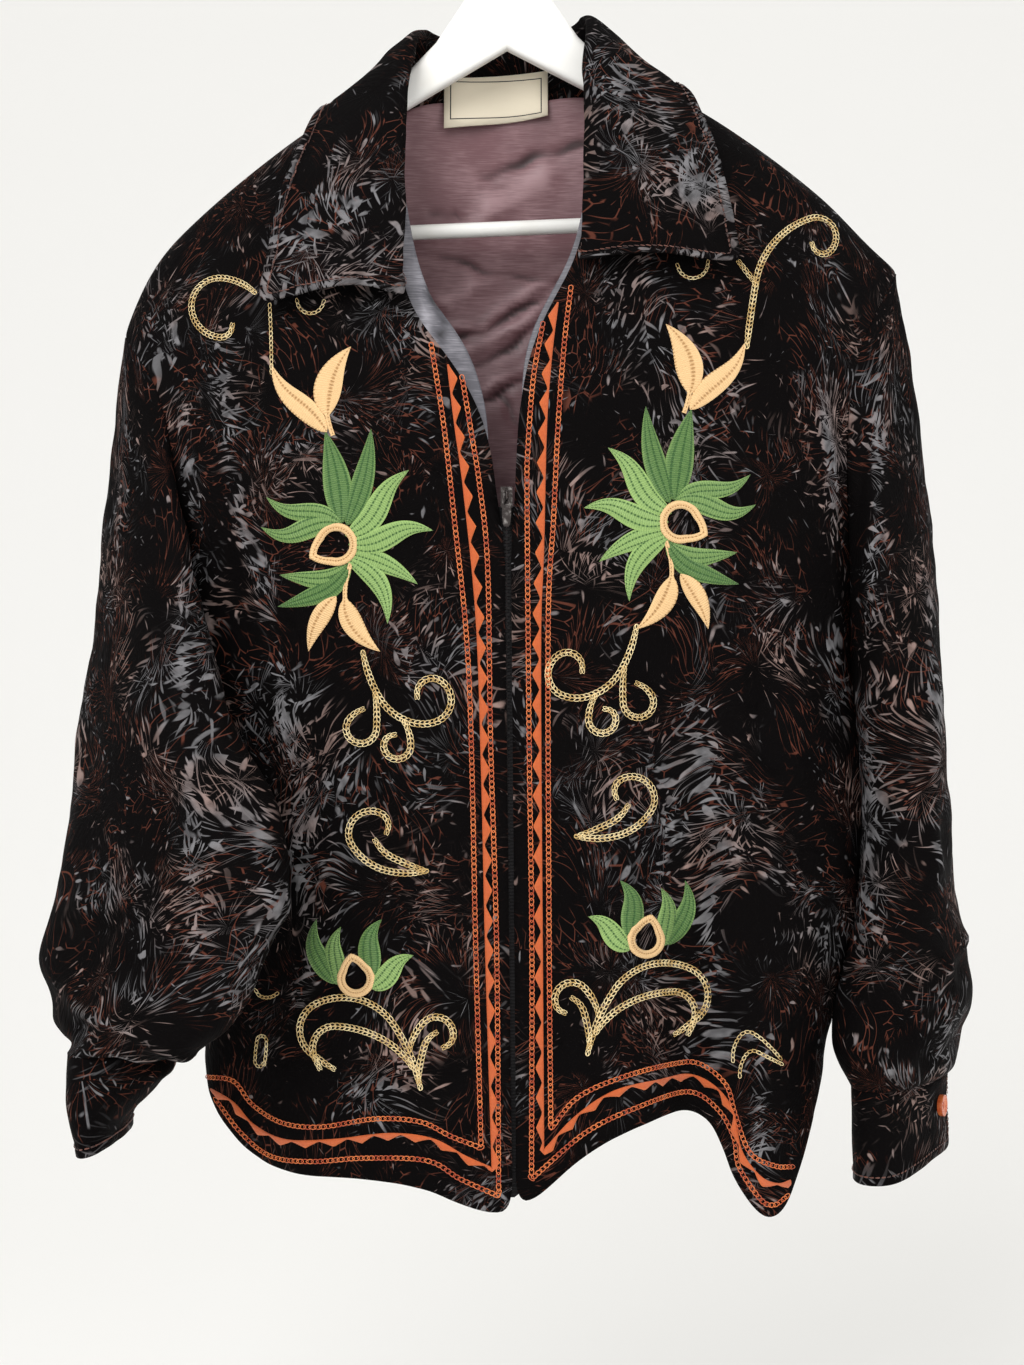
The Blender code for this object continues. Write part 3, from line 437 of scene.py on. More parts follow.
def rim_edges(mesh):
    """Vertex numbers of a mesh's open edges, two to a row."""
    uses = np.zeros(len(mesh.edges), int)
    loops = np.zeros(len(mesh.loops), np.int32)
    mesh.loops.foreach_get("edge_index", loops)
    np.add.at(uses, loops, 1)
    ends = np.zeros(len(mesh.edges) * 2, np.int32)
    mesh.edges.foreach_get("vertices", ends)
    return ends.reshape(-1, 2)[uses == 1]


def rim_loop(mesh):
    """Vertex numbers in order round a skin's open edge."""
    bm = bmesh.new()
    bm.from_mesh(mesh)
    edge = next(edge for edge in bm.edges if edge.is_boundary)
    loop = [edge.verts[0]]
    while edge.other_vert(loop[-1]) is not loop[0]:
        loop.append(edge.other_vert(loop[-1]))
        edge = next(other for other in loop[-1].link_edges if other.is_boundary and other is not edge)
    numbers = [vert.index for vert in loop]
    bm.free()
    return numbers


def tree_of(*meshes):
    """Search tree over meshes, in millimetres."""
    corners = []
    faces = []
    for mesh in meshes:
        base = len(corners)
        corners.extend(points_of(mesh)[0].tolist())
        faces.extend(tuple(base + v for v in face.vertices) for face in mesh.polygons)
    return BVHTree.FromPolygons(corners, faces)


def along_fold(place, path):
    """Share of the way along a fold's path and signed distance from it, for x and z of each point."""
    knots = np.array(path, float).reshape(-1, 2)
    runs = np.diff(knots, axis=0)
    lengths = np.linalg.norm(runs, axis=1)
    starts = np.concatenate(([0.0], np.cumsum(lengths)))
    share = np.zeros(len(place))
    apart = np.full(len(place), 1e9)
    for number, (knot, run, length) in enumerate(zip(knots, runs, lengths)):
        off = place[:, (0, 2)] - knot
        first, last = number == 0, number == len(runs) - 1
        step = np.clip(off @ run / length**2, -0.3 if first else 0.0, 1.3 if last else 1.0)
        gap = off - step[:, None] * run
        distance = np.hypot(*gap.T) * np.sign(run[0] * gap[:, 1] - run[1] * gap[:, 0])
        nearer = np.abs(distance) < np.abs(apart)
        share[nearer] = (starts[number] + step * length)[nearer] / starts[-1]
        apart[nearer] = distance[nearer]
    return share, apart


def lay_flat(name, place):
    """Places of a panel's points as if it were laid flat, which the pile follows."""
    x, y, z = place.T
    if name.startswith(("sleeve", "cuff")):
        level = np.round((z - z.min()) / LAY_ROW).astype(int)
        count = np.maximum(np.bincount(level), 1)
        rows = np.arange(len(count)) * LAY_ROW + z.min()
        middle_x = np.interp(z, rows, np.bincount(level, x) / count)
        middle_y = np.interp(z, rows, np.bincount(level, y) / count)
        broad = np.abs(x - middle_x).max() * LAY_ROUND
        deep = np.abs(y - middle_y).max() * LAY_ROUND
        turn = np.arctan2((x - middle_x) / broad, (middle_y - y) / deep)
        steps = np.linspace(-math.pi, math.pi, 121)
        lengths = np.cumsum(np.hypot(broad * np.cos(steps), deep * np.sin(steps))) * (steps[1] - steps[0])
        flat = np.column_stack((np.interp(turn, steps, lengths), z))
    else:
        hangs_at = {"front_left": -PANEL_DEPTH, "front_right": -PANEL_DEPTH, "back": PANEL_DEPTH}
        deep = np.abs(y - hangs_at[name]) if name in hangs_at else 0.0
        flat = np.column_stack((x * (1 + 0.004 * deep), z + 0.5 * deep))
    return np.column_stack((flat + (LAY_APART * list(PANELS).index(name), 0.0), np.zeros(len(place))))


def fold_up(name, place, facing):
    """Lift that a panel's creases give at its points, and their painted highlight (painted shade below 0)."""
    lift = np.zeros(len(place))
    shine = np.zeros(len(place))
    for number, (panels_seen, side, half, height, gleam, *path) in enumerate(folds):
        if name not in panels_seen.split():
            continue
        share, apart = along_fold(place, path)
        wander = 1.6 * np.sin(share * 9.0 + number * 1.7) + 0.9 * np.sin(share * 21.0 + number * 2.9)
        across = (apart + wander) / half
        uneven = 0.8 + 0.3 * np.sin(share * 13.0 + number)
        shown = ease((share + 0.08) / 0.25) * ease((1.08 - share) / 0.25)
        shown *= ease(0.5 + side * facing[:, 1] * 2.0)
        lift += height * uneven * np.exp(-across**2) * shown
        shine += gleam * uneven * np.exp(-np.where(across > 0, across / 0.95, across / 0.5) ** 2) * shown
    return lift, shine


def roll_edge(name, place):
    """Lift and painted highlight of a rolled edge, stitched down along the panel's open rim."""
    stitched, raised, gleam = EDGE_ROLLS[name]
    edge = nearest_of([point for point, owner in dots if owner == name and not sewn(point)])
    inward = np.array([edge.find(point)[2] for point in place])
    roll = np.exp(-((inward - stitched * 0.45) / 2.6) ** 2)
    lift = raised * (roll - np.exp(-((inward - stitched) / 2.0) ** 2))
    return lift, gleam * np.exp(-((inward - stitched * 0.3) / (stitched * 0.6)) ** 2)


def keep_clear(name, place, facing, wall, lift):
    """Cut a panel's lift back to the room that its neighbours leave outside and inside."""
    others = tree_of(*(node.data for other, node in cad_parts.items() if other != name))
    for number, (point, out) in enumerate(zip(place, facing)):
        out = Vector(out)
        outside = others.ray_cast(Vector(point) + out * 0.05, out, LOOK_ROUND)[3]
        inside = others.ray_cast(Vector(point) - out * (wall + 0.05), -out, LOOK_ROUND)[3]
        if outside is not None:
            lift[number] = min(lift[number], max(0.0, outside - CLEAR_OUTSIDE))
        if inside is not None:
            lift[number] = max(lift[number], -max(0.0, inside + wall - CLOTH_THICK - CLEAR_INSIDE))


def hang(name, place):
    """Swing and pull a panel's points to where its cloth hangs."""
    swelling, start, full, heights, amounts = SIDE_SWELL
    if name in swelling.split():
        sleeve = tree_of(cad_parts["sleeve_right"].data)
        push = np.interp(place[:, 2], heights, amounts) * ease((place[:, 0] - start) / (full - start))
        for number in np.nonzero(push > 0.1)[0]:
            room = sleeve.ray_cast(Vector(place[number]), Vector((1, 0, 0)), SLEEVE_AWAY)[3]
            if room is not None:
                push[number] = min(push[number], max(0.0, room - CLEAR_ASIDE))
        place[:, 0] += push
    for panels_seen, x, z, reach, aside, up in PULLS:
        if name in panels_seen.split():
            near = np.exp(-((place[:, 0] - x) ** 2 + (place[:, 2] - z) ** 2) / reach**2)
            place += near[:, None] * (aside, 0.0, up)
    if name in EDGE_MEETS:
        near = ease((MEET_REACH - np.abs(place[:, 0])) / 30.0) * ease((MEET_START - place[:, 2]) / 50.0)
        place[:, 0] += near * np.interp(place[:, 2], MEET_LEVELS, EDGE_MEETS[name])


def crease(piece, name, wall, crumple):
    """Move a skin in and out by its creases and a fine crumple, then to where it hangs."""
    mesh = piece.data
    place, facing = points_of(mesh)
    lift, shine = fold_up(name, place, facing)
    for reach, size in crumple:
        lift += size * np.array([noise.noise(Vector(point / reach)) for point in place])
    lift *= ease(np.array([sewing.find(point)[2] for point in place]) / SEAM_FADE)
    if name in EDGE_ROLLS:
        rolled, gleam = roll_edge(name, place)
        lift += rolled
        shine += gleam
    keep_clear(name, place, facing, wall, lift)
    place += facing * lift[:, None]
    hang(name, place)
    set_points(mesh, place)
    if name in PANELS:
        keep(mesh, "lay", lay_flat(name, place) * MM)
    # painted light for the material: painted highlights along folds and rolled edges, painted shade in satin
    # troughs
    keep(mesh, "painted_light", np.clip(shine, -1.0, 1.0))


def finish_cloth(piece, node, mat, slot, thick):
    """Give an open skin its cloth thickness on the inside, smooth shading, its cloth and its place."""
    modify(piece, "SOLIDIFY", thickness=thick * MM, offset=-1.0)
    bpy.ops.object.shade_smooth()
    dress(piece, mat, node, slot=slot)


def calc(tree, operation, *values):
    """Result of a Math node."""
    return add(tree, "Math", dict(enumerate(values)), operation=operation).outputs[0]


def crushed_pile():
    """Node group of crushed pile: painted sheen strokes that fan out from pressed points, broken lines and
    relief.
    """
    group = bpy.data.node_groups.new("crushed_pile", "ShaderNodeTree")
    sockets = group.interface
    sockets.new_socket("Place", in_out="INPUT", socket_type="NodeSocketVector")
    sockets.new_socket("Painted_light", in_out="INPUT", socket_type="NodeSocketFloat")
    for name in ("Shine", "Ground", "Warmth", "Height"):
        sockets.new_socket(name, in_out="OUTPUT", socket_type="NodeSocketFloat")
    into = group.nodes.new("NodeGroupInput").outputs
    out = group.nodes.new("NodeGroupOutput").inputs

    def vec(operation, first, second=(0.0, 0.0, 0.0), scale=1.0):
        """Result of a Vector Math node."""
        return add(group, "VectorMath", {0: first, 1: second, 3: scale}, operation=operation).outputs[0]

    def cloud(scale, detail=1.0):
        """Plain noise over the cloth at one scale."""
        noisy = {"Vector": into["Place"], "Scale": scale, "Detail": detail}
        return add(group, "TexNoise", noisy).outputs["Fac"]

    centre = (0.5, 0.5, 0.5)
    sway = add(group, "TexNoise", {"Vector": into["Place"], "Scale": 13.0, "Detail": 1.0}).outputs["Color"]
    moved = vec("ADD", into["Place"], vec("SCALE", vec("SUBTRACT", sway, centre), scale=0.06))

    def fan(scale, spokes, length):
        """Places drawn out into spokes from a pressed point in or beside each cell of the cloth."""
        cell = add(group, "TexVoronoi", {"Vector": moved, "Scale": scale}, voronoi_dimensions="2D").outputs
        beside = vec("SCALE", vec("SUBTRACT", cell["Color"], centre), scale=PRESSED_ASIDE / scale)
        off = vec("ADD", vec("SUBTRACT", moved, cell["Position"]), beside)
        flat = vec("MULTIPLY", off, (1.0, 1.0, 0.0))
        spread = vec("SCALE", vec("NORMALIZE", flat), scale=spokes)
        reach = add(group, "VectorMath", {0: flat}, operation="LENGTH").outputs["Value"]
        seed = add(group, "SeparateXYZ", {"Vector": cell["Color"]}).outputs["X"]
        depth = calc(group, "MULTIPLY_ADD", reach, length, calc(group, "MULTIPLY", seed, 40.0))
        return vec("ADD", spread, add(group, "CombineXYZ", {"Z": depth}).outputs[0])

    def strokes(drawn, shift):
        """Noise along the spokes; the shift gives a set of strokes of its own."""
        shifted = vec("ADD", drawn, (shift, shift, shift))
        noisy = {"Vector": shifted, "Scale": 1.0, "Detail": 0.5, "Distortion": 0.2}
        return add(group, "TexNoise", noisy).outputs["Fac"]

    broad_fan = fan(*BROAD_FAN)
    small_fan = fan(*SMALL_FAN)
    fine_fan = fan(*FINE_FAN)
    patchy = cloud(FLAT_PATCH, 2.0)
    favour = calc(group, "MULTIPLY_ADD", patchy, 0.38, -0.188)
    small = calc(group, "SUBTRACT", strokes(small_fan, 9.0), 0.02)
    laid = calc(group, "MAXIMUM", strokes(broad_fan, 3.0), small)
    # painted glints: grey flecks of painted sheen, denser along the painted highlights of fold ridges
    lit = calc(group, "MULTIPLY_ADD", into["Painted_light"], 0.17, calc(group, "ADD", laid, favour))
    painted_glints = calc(group, "MULTIPLY", span(group, lit, 0.695, 0.765),
                  span(group, cloud(GLINT_PATCH, 2.0), 0.35, 0.65, 0.4, 1.0))
    combed = strokes(fine_fan, 17.0)
    where = calc(group, "MULTIPLY_ADD", into["Painted_light"], 0.3, patchy)
    painted_glint_lines = calc(group, "MULTIPLY", span(group, combed, 0.6, 0.7), span(group, where, 0.46, 0.64, 0.0, 0.65))
    shine = calc(group, "MAXIMUM", painted_glints, painted_glint_lines)
    broken = calc(group, "MULTIPLY", span(group, cloud(BROKEN_PATCH, 2.0), 0.45, 0.54),
                  span(group, strokes(broad_fan, 29.0), 0.42, 0.52))
    split = add(group, "TexVoronoi", {"Vector": broad_fan, "Scale": 0.8}, feature="DISTANCE_TO_EDGE")
    ground = calc(group, "MULTIPLY", span(group, split.outputs["Distance"], 0.038, 0.014), broken)
    warmth = span(group, cloud(WARM_PATCH), 0.42, 0.6)
    warmth = calc(group, "MULTIPLY", warmth, calc(group, "SUBTRACT", 1.0, into["Painted_light"]))
    height = calc(group, "ADD", laid, calc(group, "MULTIPLY", combed, 0.5))
    for name, value in (("Shine", shine), ("Ground", ground), ("Warmth", warmth), ("Height", height)):
        group.links.new(value, out[name])
    return group


velvet, tree, shader = new_material("crushed_velvet", Specular_IOR_Level=0.04)
kept = {"Place": add(tree, "Attribute", attribute_name="lay").outputs["Vector"],
        "Painted_light": add(tree, "Attribute", attribute_name="painted_light").outputs["Fac"]}
pile = add(tree, "Group", kept, node_tree=crushed_pile()).outputs
# Shine mixes painted sheen, grey and mauve, into the base colour over the black and rust ground
lit = tint(tree, pile["Warmth"], PAINTED_SHEEN_SILVER, PAINTED_SHEEN_MAUVE)
dark = tint(tree, pile["Ground"], VELVET_BLACK, VELVET_RUST)
feed(shader, Base_Color=tint(tree, pile["Shine"], dark, lit),
     Roughness=span(tree, pile["Shine"], 0.0, 1.0, 0.85, 0.5))
bump(tree, shader, pile["Height"], 0.0015, 0.6)

panels = {name: outer_skin(name + "_velvet", name, row[1], row[0]) for name, row in PANELS.items()}
dots = []
for name, piece in panels.items():
    place, _ = points_of(piece.data)
    for start, end in place[rim_edges(piece.data)]:
        for share in np.linspace(0, 1, 2 + int(np.linalg.norm(end - start))):
            dots.append((start + (end - start) * share, name))
seams = nearest_of([point for point, _ in dots])


def sewn(point):
    """Whether a place on a rim lies on the rim of another panel too."""
    return len({dots[number][1] for _, number, _ in seams.find_range(point, SEAM_REACH)}) > 1


sewing = nearest_of([point for point, _ in dots if sewn(point)])
rims = {}
open_rim = {}
skins = {}
for name, piece in panels.items():
    loop = rim_loop(piece.data)
    open_rim[name] = np.array([not sewn(point) for point in points_of(piece.data)[0][loop]])
    crease(piece, name, PANELS[name][1], CRUMPLE)
    rims[name] = points_of(piece.data)[0][loop]
    skins[name] = tree_of(piece.data)
seen_in_front = ("front_left", "front_right", "sleeve_left", "sleeve_right")
fronts = tree_of(*(panels[name].data for name in seen_in_front))
for name, piece in panels.items():
    finish_cloth(piece, name, velvet, "velvet", CLOTH_THICK)


# Facings and back lining: slate satin turned back along the front edges, and a dusty mauve satin lining
# hung inside the back. Both are thin, smooth and full of soft storage creases.
SATIN_SLATE = (0.085, 0.082, 0.096, 1)
SATIN_SLATE_PALE = (0.3, 0.29, 0.32, 1)
LINING_MAUVE = (0.17, 0.08, 0.09, 1)
LINING_PALE = (0.36, 0.22, 0.235, 1)
FACING_WALL = 1.0
LINING_WALL = 1.2
SATIN_THICK = 0.8
SATIN_CRUMPLE = ((46.0, 1.3), (16.0, 0.3))
NECK_WINDOW = (70.0, -450.0)
# piece: wall of its solid, its satin, then width, length and area of its cut
SATIN_PIECES = {
    "facing_left": (FACING_WALL, "facing_satin", 0.04, 0.62, 0.0185),
    "facing_right": (FACING_WALL, "facing_satin", 0.04, 0.62, 0.0175),
    "lining_back": (LINING_WALL, "lining_satin", 0.41, 0.62, 0.222),
}
# creases of the satins, in the same order of values; a painted shine below 0 is painted shade in a trough
SATIN_CREASES = (
    ("lining_back", -1, (
        (4.0, -2.6, -1.0, -18, -186, 8, -180, 34, -170, 54, -164),
        (9.0, 2.6, 1.0, -30, -222, 8, -196, 34, -182),
        (2.6, -1.8, -0.7, -50, -236, -20, -243, 8, -250, 46, -256),
        (3.4, 1.8, 0.9, -44, -282, -16, -279, 10, -263, 44, -238),
        (3.4, -2.4, -1.0, -48, -288, -14, -285, 12, -268, 46, -244),
        (3.4, 1.8, 0.8, -36, -300, -22, -297, 8, -278, 40, -252),
        (3.4, -2.2, -0.9, -30, -310, -12, -302, 14, -284, 44, -264),
        (2.8, -2.4, -0.9, -30, -334, -4, -322, 20, -312, 44, -296),
        (3.0, 2.0, 0.8, -28, -328, 0, -315, 40, -290),
        (2.6, -1.8, -0.7, -8, -322, 10, -346, 20, -372),
        (5.0, 2.0, 0.6, -46, -268, -6, -250),
        (4.0, -1.6, -0.5, -50, -208, -30, -214, -16, -206),
        (4.0, 1.6, 0.5, -10, -388, 20, -424),
    )),
    ("facing_left", -1, (
        (4.0, 1.4, 0.9, -54, -272, -44, -312, -28, -352),
        (3.0, -1.4, -0.8, -46, -268, -36, -310),
    )),
    ("facing_right", -1, (
        (4.0, 1.4, 0.9, 50, -262, 34, -300, 20, -350),
        (3.0, -1.4, -0.8, 40, -270, 28, -310),
    )),
)
folds += [(panels_seen, side, *row) for panels_seen, side, rows in SATIN_CREASES for row in rows]


def satin(name, deep, pale, weave):
    """Smooth lining cloth: fine crosswise threads, slubs and a soft gloss, with painted light and shade on
    its creases.
    """
    made, tree, shader = new_material(name, Specular_IOR_Level=0.35, Sheen_Weight=0.15, Sheen_Roughness=0.4)
    place = add(tree, "TexCoord").outputs["Object"]
    slub = add(tree, "VectorMath", {0: place, 1: (90.0, 90.0, 1400.0)}, operation="MULTIPLY")
    threads = add(tree, "TexNoise", {"Vector": slub.outputs[0], "Scale": 1.0, "Detail": 2.0}).outputs["Fac"]
    cloudy = mottle(tree, weave, 3.0)
    both = calc(tree, "ADD", calc(tree, "MULTIPLY", threads, 0.45), calc(tree, "MULTIPLY", cloudy, 0.55))
    painted_light = add(tree, "Attribute", attribute_name="painted_light").outputs["Fac"]
    # painted highlight paler on crease ridges, painted shade darker in troughs, towards a shaded copy of the
    # deep colour
    tone_and_painted_sheen = calc(tree, "MULTIPLY_ADD", painted_light, 0.3, both)
    shaded = tint(tree, span(tree, painted_light, -0.9, 0.0), tuple(part * 0.28 for part in deep[:3]) + (1,), deep)
    feed(shader, Base_Color=tint(tree, span(tree, tone_and_painted_sheen, 0.38, 0.8), shaded, pale),
         Roughness=span(tree, cloudy, 0.3, 0.7, 0.36, 0.52))
    bump(tree, shader, both, 0.0005, 0.6)
    return made


def finer(piece, aside, down):
    """Halve the mesh of a skin within the neck opening, where its narrow folds show."""
    bm = bmesh.new()
    bm.from_mesh(piece.data)
    seen = [edge for edge in bm.edges
            if all(abs(end.co.x) < aside * MM and end.co.z > down * MM for end in edge.verts)]
    bmesh.ops.subdivide_edges(bm, edges=seen, cuts=1, use_grid_fill=True)
    bm.to_mesh(piece.data)
    bm.free()


satins = {
    "facing_satin": satin("facing_satin", SATIN_SLATE, SATIN_SLATE_PALE, 60.0),
    "lining_satin": satin("lining_satin", LINING_MAUVE, LINING_PALE, 34.0),
}
for name, (wall, slot, width, length, area) in SATIN_PIECES.items():
    piece = outer_skin(name + "_satin", name, wall, 3, toward=(0, -1, 0) if name == "lining_back" else None)
    if name == "lining_back":
        finer(piece, *NECK_WINDOW)
    crease(piece, name, wall, SATIN_CRUMPLE)
    finish_cloth(piece, name, satins[slot], slot, SATIN_THICK)


# Zip: two woven tapes sewn under the front edges with a row of moulded teeth on each, a small die-cast
# slider at the foot of the opening and its stamped pull tab, which swings on the slider's bridge.
TAPE_DARK = (0.004, 0.0035, 0.004, 1)
TAPE_LIGHT = (0.011, 0.01, 0.011, 1)
TOOTH_DARK = (0.006, 0.005, 0.005, 1)
ZIP_METAL = (0.06, 0.052, 0.05, 1)
ZIP_WORN = (0.3, 0.28, 0.27, 1)
TOOTH_SIZE = (2.6, 0.6, 1.5)
TOOTH_PITCH = 1.9
TOOTH_TOP = -409.0
TOOTH_FOOT = -800.0
TOOTH_ASIDE = 0.55
TAPE_ASIDE = 1.2


def mesh_of(name, corners, faces):
    """Mesh from corners in millimetres and equal-sided faces, shaded smooth."""
    mesh = bpy.data.meshes.new(name)
    mesh.vertices.add(len(corners))
    mesh.vertices.foreach_set("co", (corners * MM).astype(np.float32).ravel())
    mesh.loops.add(faces.size)
    mesh.loops.foreach_set("vertex_index", faces.astype(np.int32).ravel())
    mesh.polygons.add(len(faces))
    mesh.polygons.foreach_set("loop_start", (np.arange(len(faces)) * faces.shape[1]).astype(np.int32))
    mesh.update(calc_edges=True)
    mesh.shade_smooth()
    return mesh


tape, tree, shader = new_material("zip_tape", Roughness=0.8, Specular_IOR_Level=0.2)
place = add(tree, "TexCoord").outputs["Object"]
ribs = add(tree, "TexWave", {"Vector": place, "Scale": 160.0, "Distortion": 0.6}, bands_direction="Z")
feed(shader, Base_Color=tint(tree, ribs.outputs["Fac"], TAPE_DARK, TAPE_LIGHT))
bump(tree, shader, ribs.outputs["Fac"], 0.0003)
teeth_dark, tree, shader = new_material("zip_teeth", Specular_IOR_Level=0.15)
worn = mottle(tree, 700.0, 2.0)
feed(shader, Base_Color=tint(tree, span(tree, worn, 0.4, 0.75), TOOTH_DARK, TAPE_LIGHT),
     Roughness=span(tree, worn, 0.3, 0.7, 0.35, 0.55))
die_cast, tree, shader = new_material("zip_metal", Metallic=1.0)
worn = mottle(tree, 380.0, 3.0)
feed(shader, Base_Color=tint(tree, span(tree, worn, 0.5, 0.75), ZIP_METAL, ZIP_WORN),
     Roughness=span(tree, worn, 0.3, 0.7, 0.22, 0.42))

tapes = tree_of(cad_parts["zip_tape_left"].data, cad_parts["zip_tape_right"].data)
for side_name in ("left", "right"):
    piece = hard_copy("zip_tape_" + side_name + "_cloth", "zip_tape_" + side_name, tape, 60, "zip_tape")
cube = np.array([(x, y, z) for x in (-0.5, 0.5) for y in (-0.5, 0.5) for z in (-0.5, 0.5)])
cube_faces = np.array(((0, 1, 3, 2), (4, 6, 7, 5), (0, 4, 5, 1), (2, 3, 7, 6), (0, 2, 6, 4), (1, 5, 7, 3)))
teeth = []
for number, z in enumerate(np.arange(TOOTH_FOOT, TOOTH_TOP, TOOTH_PITCH)):
    side = 1 if number % 2 else -1
    hit = tapes.ray_cast(Vector((side * TAPE_ASIDE, -300, z)), Vector((0, 1, 0)))[0]
    teeth.append(cube * TOOTH_SIZE + (side * TOOTH_ASIDE, hit.y - TOOTH_SIZE[1] / 2, z))
faces = np.concatenate([cube_faces + len(cube) * number for number in range(len(teeth))])
teeth_mesh = mesh_of("zip_teeth", np.concatenate(teeth), faces)
teeth_mesh.shade_flat()
dress(stand("zip_teeth", teeth_mesh), teeth_dark, slot="zip_metal")
hard_copy("zip_slider_cast", "zip_slider", die_cast, 35, "zip_metal")
hard_copy("zip_pull_stamped", "zip_pull", die_cast, 35, "zip_metal", body="zip_pull_tab")


# Cuff buttons: pressed orange plastic discs with a raised rim, a shallow dish and four sewing holes. The
# cross of thread that sews each through the cuff is not built.
BUTTON_ORANGE = (0.5, 0.085, 0.025, 1)
BUTTON_AMBER = (0.62, 0.16, 0.04, 1)
BUTTON_RADIUS = 6.5
BUTTON_THICK = 3.2
BUTTON_DISH = 4.5
BUTTON_HOLE = 0.75
BUTTON_SIDES = 36
HOLE_SIDES = 12
HOLE_OFF = 1.35
DISH_DEPTH = 0.8
RIM_ROUND = 0.35

pressed, tree, shader = new_material("button_orange", Specular_IOR_Level=0.5, Coat_Weight=0.25)
swirl = mottle(tree, 260.0, 3.0, Distortion=1.2)
feed(shader, Base_Color=tint(tree, span(tree, swirl, 0.35, 0.7), BUTTON_ORANGE, BUTTON_AMBER),
     Roughness=span(tree, swirl, 0.3, 0.7, 0.22, 0.34))


def disc(radius, depth, sides, at=(0, 0, 0)):
    """Cylinder primitive along Z, sizes in millimetres."""
    bpy.ops.mesh.primitive_cylinder_add(vertices=sides, radius=radius * MM, depth=depth * MM,
                                        location=Vector(at) * MM)
    return bpy.context.object


for side_name, away in (("left", -1), ("right", 1)):
    place, _ = points_of(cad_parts["button_" + side_name].data)
    middle = (place.min(0) + place.max(0)) / 2
    axes = np.linalg.svd(place - place.mean(0), full_matrices=False)[2]
    outward = Vector(axes[2] * (1 if axes[2][0] * away > 0 else -1))
    button = disc(BUTTON_RADIUS, BUTTON_THICK, BUTTON_SIDES)
    button.name = "button_" + side_name + "_disc"
    bpy.ops.object.mode_set(mode="EDIT")
    bpy.ops.mesh.select_all(action="DESELECT")
    bm = bmesh.from_edit_mesh(button.data)
    for face in bm.faces:
        face.select = face.normal.z > 0.9
    bmesh.update_edit_mesh(button.data)
    bpy.ops.mesh.inset(thickness=(BUTTON_RADIUS - BUTTON_DISH) * MM)
    bpy.ops.transform.translate(value=(0, 0, -DISH_DEPTH * MM))
    bpy.ops.object.mode_set(mode="OBJECT")
    for turn in range(4):
        at = (HOLE_OFF * math.cos(turn * math.pi / 2), HOLE_OFF * math.sin(turn * math.pi / 2), 0)
        drill = disc(BUTTON_HOLE, 2 * BUTTON_THICK, HOLE_SIDES, at)
        modify(button, "BOOLEAN", operation="DIFFERENCE", object=drill)
        bpy.data.objects.remove(drill)
    modify(button, "BEVEL", width=RIM_ROUND * MM, segments=3, limit_method="ANGLE")
    turned = outward.to_track_quat("Z", "Y").to_matrix().to_4x4()
    turned.translation = Vector(middle) * MM
    button.data.transform(turned)
    bpy.ops.object.shade_smooth_by_angle(angle=math.radians(40))
    dress(button, pressed, "button_" + side_name, slot="button_orange")


# Neck label: a blank tab of cream ribbon with a thin plain border line woven in, sewn at its top edge
# inside the collar and hanging a little askew.
LABEL_CREAM = (0.78, 0.70, 0.55, 1)
LABEL_LINE = (0.02, 0.02, 0.02, 1)
LABEL_LEFT = -39.5
LABEL_BROAD = 65.0
LABEL_TALL = 33.0
LABEL_TOP = -121.5
LABEL_SAG = 3.0
BORDER_IN = 4.0
BORDER_LINE = 0.7

woven, tree, shader = new_material("label_woven", Roughness=0.7, Specular_IOR_Level=0.25)
place = add(tree, "TexCoord").outputs["Object"]
axis = add(tree, "SeparateXYZ", {"Vector": place})
across = calc(tree, "MULTIPLY_ADD", axis.outputs["X"], 1000.0, -LABEL_LEFT)
share = calc(tree, "DIVIDE", across, LABEL_BROAD)
drop = calc(tree, "MULTIPLY_ADD", axis.outputs["Z"], -1000.0, LABEL_TOP - LABEL_SAG)
drop = calc(tree, "MULTIPLY_ADD", share, LABEL_SAG, drop)
down = calc(tree, "DIVIDE", drop, calc(tree, "MULTIPLY_ADD", share, -0.1, 1.0))
inset = calc(tree, "MINIMUM", calc(tree, "MINIMUM", across, calc(tree, "SUBTRACT", LABEL_BROAD, across)),
             calc(tree, "MINIMUM", down, calc(tree, "SUBTRACT", LABEL_TALL, down)))
line = calc(tree, "COMPARE", inset, BORDER_IN, BORDER_LINE / 2)
grain = add(tree, "TexWave", {"Vector": place, "Scale": 420.0, "Distortion": 0.8}, bands_direction="Z")
feed(shader, Base_Color=tint(tree, line, LABEL_CREAM, LABEL_LINE))
bump(tree, shader, grain.outputs["Fac"], 0.00012)
label = hard_copy("label_tab", "label", woven, 50, "label_cream")


# Orange border: two lines of chain stitch and between them a satin-stitched band with pointed teeth, worked
# down both front edges and on round the whole hem, its teeth towards the edge.
ORANGE_DEEP = (0.47, 0.06, 0.012, 1)
ORANGE_PALE = (0.78, 0.2, 0.045, 1)
LINE_STITCH = {"pitch": 3.2, "length": 4.5, "breadth": 2.6, "thick": 0.28}
# the drawing of the embroidery stands upright at this depth, as seen from in front of the jacket
DRAWING_AT = -80.0
EYE = (3.1, -1200.0, -506.85)
CURVE_STEP = 1.2
RIM_STEP = 2.0
TOOTH_REPEAT = 17.5
TOOTH_REACH = 5.3
# teeth are a little shorter towards the hem: z, and share of their reach
TOOTH_SHORTER = ((-780.0, -560.0), (0.88, 1.0))
BAND_BROAD = 1.1
BAND_STEP = 1.3
BAND_SHADE = 0.3
HEM_BELOW = -700.0
